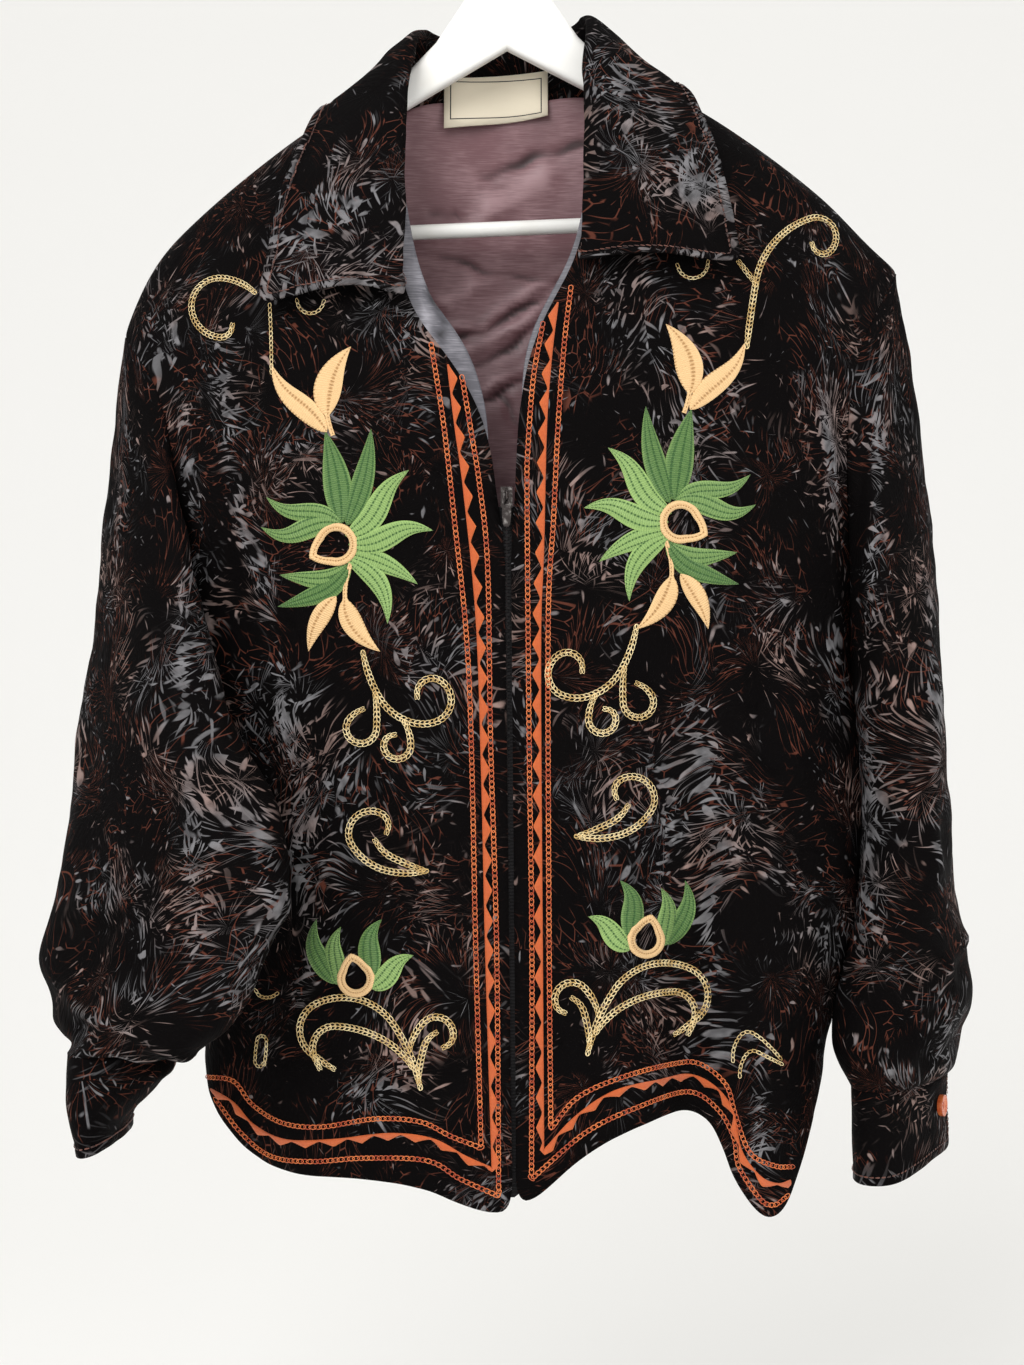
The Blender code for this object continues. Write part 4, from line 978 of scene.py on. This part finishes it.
# side: line, height above the back hem, x and z down the front edge, then x and z along the hem
BORDER = {
    "right": (
        ("chain", 10.5,
         ((20.8, -300), (15.4, -331), (12.4, -370), (11.8, -400), (13, -540), (14.6, -660), (14.4, -794)),
         ((14.4, -794), (46, -767), (77, -752), (105, -743.6), (122, -753.5), (131.5, -770), (134.5, -787),
          (147, -806), (155, -809), (162, -804))),
        ("band", 22.0,
         ((29.6, -287), (25.8, -318), (22.8, -360), (21.2, -428), (19.4, -490), (20.4, -660), (21.2, -778)),
         ((21.2, -778), (40, -758), (62, -743.5), (88, -737), (106, -733.8), (121, -741), (131, -755),
          (136, -778), (147, -793), (157, -797), (164, -795))),
        ("chain", 32.0,
         ((37.1, -279), (33.5, -309), (30, -354), (27.1, -413), (24, -475), (24.6, -660), (25.6, -765)),
         ((25.6, -765), (41, -747), (66, -735.5), (96, -727.5), (112, -727.5), (127, -739.5), (132.5, -757),
          (141, -779), (155, -786.5), (165, -787)))),
    "left": (
        ("chain", 10.5,
         ((-25.8, -330), (-20.5, -362), (-15.6, -393), (-11, -440), (-9.3, -540), (-5.8, -660), (-4.6, -804)),
         ((-4.6, -804), (-27, -794), (-46, -783.5), (-82, -782), (-113, -784), (-136, -781), (-153, -768),
          (-168, -748.5))),
        ("band", 22.0,
         ((-34, -323), (-29.8, -358), (-24.4, -398), (-17.3, -472), (-14.1, -567), (-12, -660), (-8.2, -788)),
         ((-8.2, -788), (-24, -781), (-43, -771), (-68, -768), (-101, -771.5), (-128, -771.5), (-146, -763),
          (-158, -750), (-171, -742))),
        ("chain", 32.0,
         ((-43.5, -312), (-36.4, -358), (-30.2, -413), (-23.5, -477), (-20.5, -540), (-17.9, -660),
          (-14.8, -776)),
         ((-14.8, -776), (-32, -769.5), (-50, -761), (-76, -759.3), (-108, -764), (-130, -761.5),
          (-147, -751), (-158, -737.5), (-173, -735)))),
}


def evenly(line, step):
    """Line of points taken at even steps along its first columns, up to three."""
    gaps = np.linalg.norm(np.diff(line[:, :3], axis=0), axis=1)
    along = np.concatenate(([0.0], np.cumsum(gaps)))
    marks = np.linspace(0.0, along[-1], max(2, round(along[-1] / step) + 1))
    return np.column_stack([np.interp(marks, along, column) for column in line.T])


def curve_through(points):
    """Smooth curve through given points, at steps of about a millimetre."""
    knots = np.array(points, float)
    knots = np.vstack((2 * knots[0] - knots[1], knots, 2 * knots[-1] - knots[-2]))
    t = np.linspace(0, 1, 10, endpoint=False)[:, None]
    runs = [0.5 * (2 * b + (c - a) * t + (2 * a - 5 * b + 4 * c - d) * t**2 + (3 * b - a - 3 * c + d) * t**3)
            for a, b, c, d in zip(knots, knots[1:], knots[2:], knots[3:])]
    return evenly(np.vstack((*runs, knots[-2:-1])), CURVE_STEP)


def unit(rows):
    """Rows of directions at length 1."""
    return rows / np.linalg.norm(rows, axis=1, keepdims=True)


def on_front(flat):
    """Places on the fronts behind x and z points of the drawing, with the cloth's softened outward ways."""
    rows = []
    for x, z in flat:
        point = Vector((x, DRAWING_AT, z))
        hit, out, _, _ = fronts.ray_cast(Vector(EYE), point - Vector(EYE))
        if hit is None:
            hit, out, _, _ = fronts.find_nearest(point)
        out = Vector(out) * (1 if out.y < 0 else -1)
        rows.append((*hit, *(out + Vector((0, -1, 0))).normalized()))
    return np.array(rows)


def inside_rim(name, rim, inset):
    """Line on a panel at one distance inside a stretch of its rim."""
    rim = evenly(rim, RIM_STEP)
    rows = []
    for point, run in zip(rim, unit(np.gradient(rim, axis=0))):
        _, out, _, _ = skins[name].find_nearest(Vector(point))
        step = Vector(out).cross(Vector(run)).normalized() * inset
        found = [skins[name].find_nearest(Vector(point) + step * way) for way in (1, -1)]
        hit, out, _, _ = min(found, key=lambda near: near[3])
        rows.append((*hit, *out))
    return np.array(rows)


def steps_along(line, pitch):
    """Even steps along a line on the cloth: middles, and directions along, across and out of the cloth."""
    line = evenly(line, pitch)
    out = unit(line[:, 3:])
    ahead = unit(np.gradient(line[:, :3], axis=0))
    aside = unit(np.cross(out, ahead))
    return line[:, :3], ahead, aside, unit(np.cross(ahead, aside))


def chain(name, lines, mat, pitch, length, breadth, thick, rows=(0.0,), splay=0.0):
    """Joined chain-stitch loops along lines on the cloth, in rows side by side that lean outwards."""
    turns, sides = 8, 4
    turn = np.arange(turns) / turns * 2 * math.pi
    side = np.arange(sides) / sides * 2 * math.pi
    round_x = np.cos(turn) * length / 2
    round_y = np.sin(turn) * breadth / 2 * (1 - 0.3 * np.cos(turn))
    spread = 1 + thick / breadth * 2 * np.cos(side)
    raised = np.broadcast_to(thick * np.sin(side), (turns, sides)) + 0.25 * np.cos(turn)[:, None]
    loop = np.stack((round_x[:, None] * (1 + thick / length * 2 * np.cos(side)), round_y[:, None] * spread,
                     raised), -1).reshape(-1, 3)
    number = np.arange(turns * sides).reshape(turns, sides)
    ahead = np.roll(number, -1, 0)
    quads = np.stack((number, ahead, np.roll(ahead, -1, 1), np.roll(number, -1, 1)), -1).reshape(-1, 4)
    loops = []
    for line in lines:
        middle, run, aside, out = steps_along(line, pitch)
        ends = np.minimum(np.arange(len(middle)), np.arange(len(middle))[::-1])
        narrow = 0.45 + 0.55 * ease(ends / 4.0)
        for shift in rows:
            at = middle + aside * (shift * narrow)[:, None] + out * (thick + 0.2)
            lean = math.radians(splay) * np.sign(shift)
            along = run * math.cos(lean) + aside * math.sin(lean)
            across = aside * math.cos(lean) - run * math.sin(lean)
            loops.append(at[:, None] + np.einsum("vi,nij->nvj", loop, np.stack((along, across, out), 1)))
    loops = np.concatenate(loops)
    faces = quads[None] + len(loop) * np.arange(len(loops))[:, None, None]
    mesh = mesh_of(name, loops.reshape(-1, 3), faces.reshape(-1, 4))
    shades = np.random.default_rng(len(loops)).random(len(loops))
    keep(mesh, "tone", np.repeat(shades, len(loop)))
    return dress(stand(name, mesh), mat)


def thread(name, deep, pale):
    """Twisted embroidery thread, each stitch a little lighter or darker."""
    made, tree, shader = new_material(name, Roughness=0.55, Specular_IOR_Level=0.35, Sheen_Weight=0.2)
    twist = mottle(tree, 1500.0, 2.0)
    tone = add(tree, "Attribute", attribute_name="tone").outputs["Fac"]
    share = calc(tree, "ADD", calc(tree, "MULTIPLY", tone, 0.6), calc(tree, "MULTIPLY", twist, 0.4))
    feed(shader, Base_Color=tint(tree, span(tree, share, 0.2, 0.75), deep, pale))
    bump(tree, shader, twist, 0.0003)
    return made


def toothed(line, teeth_side):
    """Grid of a satin band along a line: straight on one edge, pointed teeth on the other."""
    middle, _, aside, out = steps_along(line, BAND_STEP)
    along = np.arange(len(middle)) * BAND_STEP
    wave = np.abs(((along / TOOTH_REPEAT) % 1.0) - 0.5) * 2.0
    longest = TOOTH_REACH * np.interp(middle[:, 2], *TOOTH_SHORTER)
    reach = BAND_BROAD + (longest - BAND_BROAD) * (1.0 - wave) ** 1.1
    across = np.linspace(0.0, 1.0, 7)
    dome = 0.25 + 0.75 * np.sqrt(np.clip(1.0 - (2.0 * across - 1.0) ** 2, 0.0, 1.0))
    off = (BAND_BROAD / 2 - across[None] * reach[:, None]) * -teeth_side
    grid = middle[:, None] + aside[:, None] * off[..., None] + out[:, None] * dome[None, :, None]
    return grid, along, across


def grids(name, pieces, mat):
    """Open grids joined as one piece, with the along, across and shade of each point kept for its thread."""
    corners = []
    faces = []
    marks = []
    base = 0
    for grid, along, across, shade in pieces:
        rows, cols = grid.shape[:2]
        number = base + np.arange(rows * cols).reshape(rows, cols)
        quads = (number[:-1, :-1], number[1:, :-1], number[1:, 1:], number[:-1, 1:])
        faces.append(np.stack(quads, -1).reshape(-1, 4))
        corners.append(grid.reshape(-1, 3))
        along, across = np.broadcast_arrays(np.reshape(along, (rows, 1)), np.reshape(across, (1, cols)))
        marks.append(np.stack((along, across, np.full((rows, cols), shade)), -1).reshape(-1, 3))
        base += rows * cols
    mesh = mesh_of(name, np.concatenate(corners), np.concatenate(faces))
    keep(mesh, "weave", np.concatenate(marks))
    return dress(stand(name, mesh), mat)


def satin_stitch(name, deep, pale, stitch, rows):
    """Close satin stitch: threads laid across, rows of needle holes along, a paler rim and soft shading."""
    made, tree, shader = new_material(name, Roughness=0.5, Specular_IOR_Level=0.35, Sheen_Weight=0.15)
    weave = add(tree, "Attribute", attribute_name="weave").outputs["Vector"]
    along, across, shade = add(tree, "SeparateXYZ", {"Vector": weave}).outputs
    uneven = mottle(tree, 500.0, 2.0)
    slant = calc(tree, "MULTIPLY_ADD", calc(tree, "ABSOLUTE", across), 0.8, along)
    jitter = calc(tree, "MULTIPLY_ADD", uneven, 0.5, slant)
    laid = calc(tree, "PINGPONG", calc(tree, "DIVIDE", jitter, stitch), 0.5)
    row = calc(tree, "PINGPONG", calc(tree, "MULTIPLY_ADD", across, rows, 0.18), 0.5)
    groove = span(tree, row, 0.0, 0.2, 1.0, 0.0)
    punched = calc(tree, "PINGPONG", calc(tree, "DIVIDE", along, 2.1), 0.5)
    holes = calc(tree, "MULTIPLY", groove, span(tree, punched, 0.24, 0.36))
    rim = span(tree, calc(tree, "ABSOLUTE", across), 0.72, 0.95)
    tone = calc(tree, "ADD", calc(tree, "MULTIPLY", laid, 0.5), calc(tree, "MULTIPLY", rim, 0.22))
    tone = calc(tree, "ADD", calc(tree, "ADD", tone, shade), calc(tree, "MULTIPLY", uneven, 0.25))
    tone = calc(tree, "SUBTRACT", tone, calc(tree, "MULTIPLY", groove, 0.26))
    tone = calc(tree, "SUBTRACT", tone, calc(tree, "MULTIPLY", holes, 0.7))
    feed(shader, Base_Color=tint(tree, span(tree, tone, 0.0, 1.25), deep, pale))
    height = calc(tree, "SUBTRACT", laid, calc(tree, "MULTIPLY", holes, 0.8))
    bump(tree, shader, height, 0.0005)
    return made


orange = thread("orange_thread", ORANGE_DEEP, ORANGE_PALE)
orange_satin = satin_stitch("orange_satin", ORANGE_DEEP, ORANGE_PALE, 0.6, 0.0)
worked = {"chain": [], "band": []}
for side_name, teeth_side in (("right", -1), ("left", 1)):
    for kind, _, edge, foot in BORDER[side_name]:
        line = on_front(np.vstack((curve_through(edge), curve_through(foot)[1:])))
        worked[kind].append((line, teeth_side))
hem = rims["back"][(rims["back"][:, 2] < HEM_BELOW) & open_rim["back"]]
hem = hem[np.argsort(-hem[:, 0])]
for kind, height, _, _ in BORDER["right"]:
    worked[kind].append((inside_rim("back", hem, height), -1))
chain("border_chain", [line for line, _ in worked["chain"]], orange, **LINE_STITCH)
bands = [(*toothed(line, teeth_side), BAND_SHADE) for line, teeth_side in worked["band"]]
grids("border_teeth", bands, orange_satin)


# Gold scrolls: curling stems, paisley curls and arcs in two rows of chain stitch of gold thread, worked in
# mirror on both fronts, with a few thin curls in one row. Each is drawn as arcs that run on.
GOLD_DEEP = (0.62, 0.4, 0.13, 1)
GOLD_PALE = (1.0, 0.83, 0.47, 1)
GOLD_STITCH = {"pitch": 2.9, "length": 4.1, "breadth": 1.9, "thick": 0.21, "rows": (-0.95, 0.95),
               "splay": 14.0}
THIN_STITCH = {"pitch": 2.9, "length": 4.0, "breadth": 1.8, "thick": 0.22}
# motif: its start on the right and on the left front, then its strokes: where each starts out to the side and
# up, its heading, and arcs of a length and a turn
SCROLLS = {
    "spray": ((75, -475), (-83, -490), (
        ((0, 0), -100, (27, -20), (25, -45), (14, -35), (30, -130), (20, -130)),
        ((-7, -24), -98, (20, 12), (33, 215), (9, 30)),
        ((-24, -40), -120, (14, 30), (26, 190), (8, 80)),
    )),
    "paisley": ((41, -596), (-47, -616), (
        ((0, 0), -12, (22, 25), (26, 45), (34, 150), (12, 90)),
        ((2, 1), 18, (18, 8), (14, 35)),
    )),
    "arcs": ((47, -721), (-50, -741), (
        ((0, 0), 78, (40, -22), (34, -56), (16, -25), (34, -115), (16, -10)),
        ((5, 12), 58, (22, -28), (30, -28), (24, -110), (8, -10)),
        ((6, 22), 100, (18, 35), (26, 150), (7, 60)),
        ((1, 4), 92, (20, 15), (10, 45)),
    )),
}
# strokes on one front only, -1 for the left: in two rows of stitches, and in one
LONE_SCROLLS = (
    (1, (139, -312), 84, (38, -4), (50, -62), (30, -150), (14, -130)),
    (1, (144, -276), 128, (15, 0)),
    (-1, (146, -281), 42, (20, -36), (30, -104), (24, -76), (11, -95)),
)
THIN_SCROLLS = (
    (1, (99, -266), -78, (26, 170)),
    (-1, (106, -287), -80, (22, 165)),
    (-1, (137, -289), -93, (38, 3)),
    (1, (131, -725), 95, (15, -45), (8, -80), (9, -14), (12, -6)),
    (1, (135, -734), 92, (13, -40), (7, -80), (15, 2)),
    (-1, (133, -687), -40, (8, 50), (6, 60)),
    (-1, (140, -727), 100, (13, -10), (8, -170), (13, -10), (7, -165)),
)


def stroke(start, heading, *arcs):
    """Curve from a start: its heading in degrees, then arcs of a length and a turn."""
    points = [np.array(start, float)]
    for length, turn in arcs:
        steps = max(2, round(length / CURVE_STEP))
        for _ in range(steps):
            middle = math.radians(heading + turn / steps / 2)
            points.append(points[-1] + np.array((math.cos(middle), math.sin(middle))) * length / steps)
            heading += turn / steps
    return np.array(points)


gold = thread("gold_thread", GOLD_DEEP, GOLD_PALE)
curls = [on_front(stroke(*row) * (sign, 1)) for sign, *row in LONE_SCROLLS]
for at_right, at_left, runs in SCROLLS.values():
    for start, sign in ((at_right, 1), (at_left, -1)):
        curls.extend(on_front(stroke(*run) * (sign, 1) + start) for run in runs)
chain("gold_scrolls", curls, gold, **GOLD_STITCH)
thin = [on_front(stroke(*row) * (sign, 1)) for sign, *row in THIN_SCROLLS]
chain("gold_threads", thin, gold, **THIN_STITCH)


# Topstitching: a line of small rust-brown lockstitches round the collar's edge and round both cuffs, which
# holds their rolled edges flat.
STITCH_DEEP = (0.04, 0.012, 0.009, 1)
STITCH_PALE = (0.16, 0.055, 0.035, 1)
TOP_STITCH = {"pitch": 3.4, "length": 2.6, "breadth": 0.5, "thick": 0.24}
FEWEST_POINTS = 20

rust_thread = thread("rust_thread", STITCH_DEEP, STITCH_PALE)
seam_lines = []
for name, (inset, _, _) in EDGE_ROLLS.items():
    free = open_rim[name]
    start = int(np.argmin(free))
    order = (np.arange(len(free)) + start) % len(free)
    for run in np.split(order, np.nonzero(np.diff(free[order].astype(int)))[0] + 1):
        if free[run[0]] and len(run) > FEWEST_POINTS:
            seam_lines.append(inside_rim(name, rims[name][run], inset))
chain("topstitching", seam_lines, rust_thread, **TOP_STITCH)


# Leaves and rings: thick satin-stitched leaves in three greens and in cream round a teardrop ring of cream
# thread, each leaf padded up by its own threads.
GREEN_DEEP = (0.03, 0.1, 0.016, 1)
GREEN_PALE = (0.34, 0.51, 0.16, 1)
CREAM_DEEP = (0.42, 0.22, 0.075, 1)
CREAM_PALE = (0.8, 0.535, 0.265, 1)
# shades of the threads: three greens, and the cream of leaves
DARK, MID, LIGHT, CREAM = 0.04, 0.24, 0.47, 0.62
RING_BROAD = 4.8
STALK_HALF = 1.3
LEAF_STEPS = 40
LEAF_ACROSS = 19
LEAF_BASE = 0.25
LEAF_LAYER = 0.22
LEAF_PAD = 1.15
RING_BASE = 1.2
RING_PAD = 1.2
RING_STEPS = 81
RING_ACROSS = 11
RING_ROUND = 80.0
RING_SHADE = 0.7
# motif: middle of its ring on the right and left, ring breadth, length and point, then leaf rows: base out
# and up, tip out and up, breadth, bow, curl, stalk, thread
FLOWERS = {
    "flower": ((100.5, -414), (-98.5, -427), (25, 30, 12, -6), (
        (-3, 12, 6.5, 65.5, 16.5, 0.03, 0.0, 0.0, DARK),
        (-6, 11, -20, 67, 13, 0.05, 0.0, 0.0, DARK),
        (-5, 5, -42, 43, 14, 0.03, 0.05, 0.0, LIGHT),
        (-7, 0, -56, 8, 14, -0.03, 0.05, 0.0, LIGHT),
        (-6, -5, -47, -23, 11.5, -0.07, 0.0, 0.0, LIGHT),
        (-5, -8, -29.5, -46, 12, -0.19, 0.0, 0.0, LIGHT),
        (-3, 13, 40.5, 27.5, 11, -0.04, 0.05, 0.0, MID),
        (-3, 12, 43.5, 10, 12.5, -0.07, 0.06, 0.0, MID),
        (-8, -11, 33, -17.5, 11, -0.15, -0.03, 0.0, MID),
        (-8, -11, 34, -36, 12, -0.12, -0.02, 0.0, DARK),
        (0, -30, 16, -62, 11, 0.08, 0.0, 0.0, CREAM),
        (-8.5, -11, -25.5, -62, 12.5, 0.2, 0.0, 0.34, CREAM),
        (5.5, 65, 37.5, 104, 13, -0.05, 0.03, 0.0, CREAM),
        (2, 63, -8.5, 114.5, 16, -0.16, 0.0, 0.2, CREAM),
    )),
    "bud": ((80.3, -655.5), (-87, -678), (22, 26, 3, 14), (
        (11.5, -3.0, 22.9, 34.3, 12, -0.15, 0.02, 0.0, DARK),
        (10.0, -4.0, 8.8, 29.9, 11.5, -0.10, 0.03, 0.0, MID),
        (-9.5, 0.0, -14.9, 34.3, 13, -0.14, 0.03, 0.0, DARK),
        (-8.5, -5.5, -33.2, 13.3, 12.5, -0.03, 0.05, 0.0, LIGHT),
    )),
}


def leaf(row, sign, start, layer):
    """Padded grid of one leaf on the cloth, with its distance along and its share across from -1 to 1."""
    base = np.array(row[0:2]) * (sign, 1) + start
    tip = np.array(row[2:4]) * (sign, 1) + start
    breadth, bow, curl, stalk = row[4:8]
    run = tip - base
    length = np.linalg.norm(run)
    side = np.array((-run[1], run[0])) * sign
    t = np.linspace(0.0, 1.0, LEAF_STEPS)
    sway = bow * 4 * t * (1 - t) + curl * np.sin(2 * math.pi * t)
    middle = base + run * t[:, None] + side * sway[:, None]
    ahead = unit(np.gradient(middle, axis=0))
    normal = np.stack((-ahead[:, 1], ahead[:, 0]), 1)
    blade = np.clip((t - stalk) / (1.0 - stalk), 0.0, 1.0)
    half = breadth / 2 * np.sin(math.pi * blade**0.72) ** 0.9
    half = np.where(t < stalk + 0.25, np.maximum(half, STALK_HALF * (stalk > 0)), half)
    across = np.linspace(-1.0, 1.0, LEAF_ACROSS)
    flat = middle[:, None] + normal[:, None] * (half[:, None] * across)[..., None]
    laid = on_front(flat.reshape(-1, 2)).reshape(LEAF_STEPS, LEAF_ACROSS, 6)
    dome = np.sqrt(1.0 - across**2) * (1.0 - 0.28 * np.exp(-((across + 0.05) / 0.14) ** 2))
    pad = LEAF_BASE + LEAF_LAYER * layer + LEAF_PAD * dome[None] * np.minimum(1.0, half[:, None] / 4.0)
    return laid[..., :3] + laid[..., 3:] * pad[..., None], t * length, across


def ring(size, sign, start):
    """Padded grid of a pointed ring on the cloth."""
    broad, tall, point_out, point_up = size
    turn = np.linspace(0, 2 * math.pi, RING_STEPS)
    toward = math.atan2(point_up, point_out * sign)
    off = np.abs((turn - toward + math.pi) % (2 * math.pi) - math.pi)
    apex = np.clip(1.0 - off / 0.85, 0.0, 1.0)
    outer = broad / 2 * (1.0 + 2.0 * (tall / broad - 1.0) * apex**1.5)
    across = np.linspace(-1.0, 1.0, RING_ACROSS)
    reach = outer[:, None] - RING_BROAD * (0.5 - 0.5 * across)
    outline = np.stack((np.cos(turn)[:, None] * reach, np.sin(turn)[:, None] * reach), -1)
    laid = on_front((outline + start).reshape(-1, 2)).reshape(RING_STEPS, RING_ACROSS, 6)
    groove = 0.8 * np.exp(-((across + 0.1) / 0.16) ** 2)
    dome = RING_BASE + RING_PAD * np.sqrt(1.0 - across**2) - groove
    return laid[..., :3] + laid[..., 3:] * dome[None, :, None], turn / (2 * math.pi) * RING_ROUND, across


green_satin = satin_stitch("green_satin", GREEN_DEEP, GREEN_PALE, 1.25, 1.6)
cream_satin = satin_stitch("cream_satin", CREAM_DEEP, CREAM_PALE, 1.25, 0.8)
greens = []
creams = []
for at_right, at_left, size, rows in FLOWERS.values():
    for start, sign in ((at_right, 1), (at_left, -1)):
        for layer, row in enumerate(rows):
            shade = row[8]
            (creams if shade == CREAM else greens).append((*leaf(row, sign, start, layer % 4), shade))
        creams.append((*ring(size, sign, start), RING_SHADE))
grids("leaves_green", greens, green_satin)
grids("leaves_cream", creams, cream_satin)


# Studio: a painted floor that sweeps up into a pale wall far behind, a soft lamp at the upper left with a
# weaker one on the right, and the camera straight in front.
LENS = 68.04
SENSOR = 36.0
FLOOR_DROP = -1150.0
WALL_BACK = 3600.0
WALL_TOP = 6000.0
SWEEP_ROUND = 2600.0
SWEEP_REACH = 7000.0
STUDIO_PALE = (0.9, 0.895, 0.88, 1)
STUDIO_DULL = (0.8, 0.78, 0.75, 1)
DAYLIGHT = (1.0, 0.995, 0.98, 1)
DAYLIGHT_STRENGTH = 0.9
AIM = (0, 0, -0.45)
# lamp: place, size and power
LAMPS = {"key": ((-0.9, -1.9, 0.9), 1.4, 34.0), "fill": ((1.6, -1.6, 0.1), 1.6, 12.0)}

paint, tree, shader = new_material("studio_paint", Roughness=0.9, Specular_IOR_Level=0.1)
cloudy = calc(tree, "MULTIPLY", mottle(tree, 1.4, 2.0), 0.06)
feed(shader, Base_Color=tint(tree, cloudy, STUDIO_PALE, STUDIO_DULL))
turn = np.linspace(0.0, math.pi / 2, 13)
rise = np.column_stack((WALL_BACK - SWEEP_ROUND + SWEEP_ROUND * np.sin(turn),
                        FLOOR_DROP + SWEEP_ROUND * (1.0 - np.cos(turn))))
rise = np.vstack(((-SWEEP_REACH, FLOOR_DROP), rise, (WALL_BACK, WALL_TOP)))
corners = np.array([(x, y, z) for y, z in rise for x in (-SWEEP_REACH, SWEEP_REACH)])
number = 2 * np.arange(len(rise) - 1)
strips = np.stack((number, number + 1, number + 3, number + 2), 1)
sweep = stand("studio_sweep", mesh_of("studio_sweep", corners, strips))
sweep.data.materials.append(paint)
camera = bpy.data.cameras.new("camera")
camera.sensor_fit = "HORIZONTAL"
camera.sensor_width = SENSOR
camera.lens = LENS
view = stand("camera", camera)
view.location = Vector(EYE) * MM
view.rotation_euler = (math.pi / 2, 0.0, 0.0)
bpy.context.scene.camera = view
bpy.context.scene.view_settings.view_transform = "Standard"
world = bpy.data.worlds.new("studio")
world.use_nodes = True
daylight = world.node_tree.nodes["Background"]
daylight.inputs["Color"].default_value = DAYLIGHT
daylight.inputs["Strength"].default_value = DAYLIGHT_STRENGTH
bpy.context.scene.world = world
for name, (spot, size, power) in LAMPS.items():
    lamp = bpy.data.lights.new(name, "AREA")
    lamp.size = size
    lamp.energy = power
    lit_from = stand(name, lamp)
    lit_from.location = spot
    lit_from.rotation_euler = (Vector(AIM) - Vector(spot)).to_track_quat("-Z", "Y").to_euler()
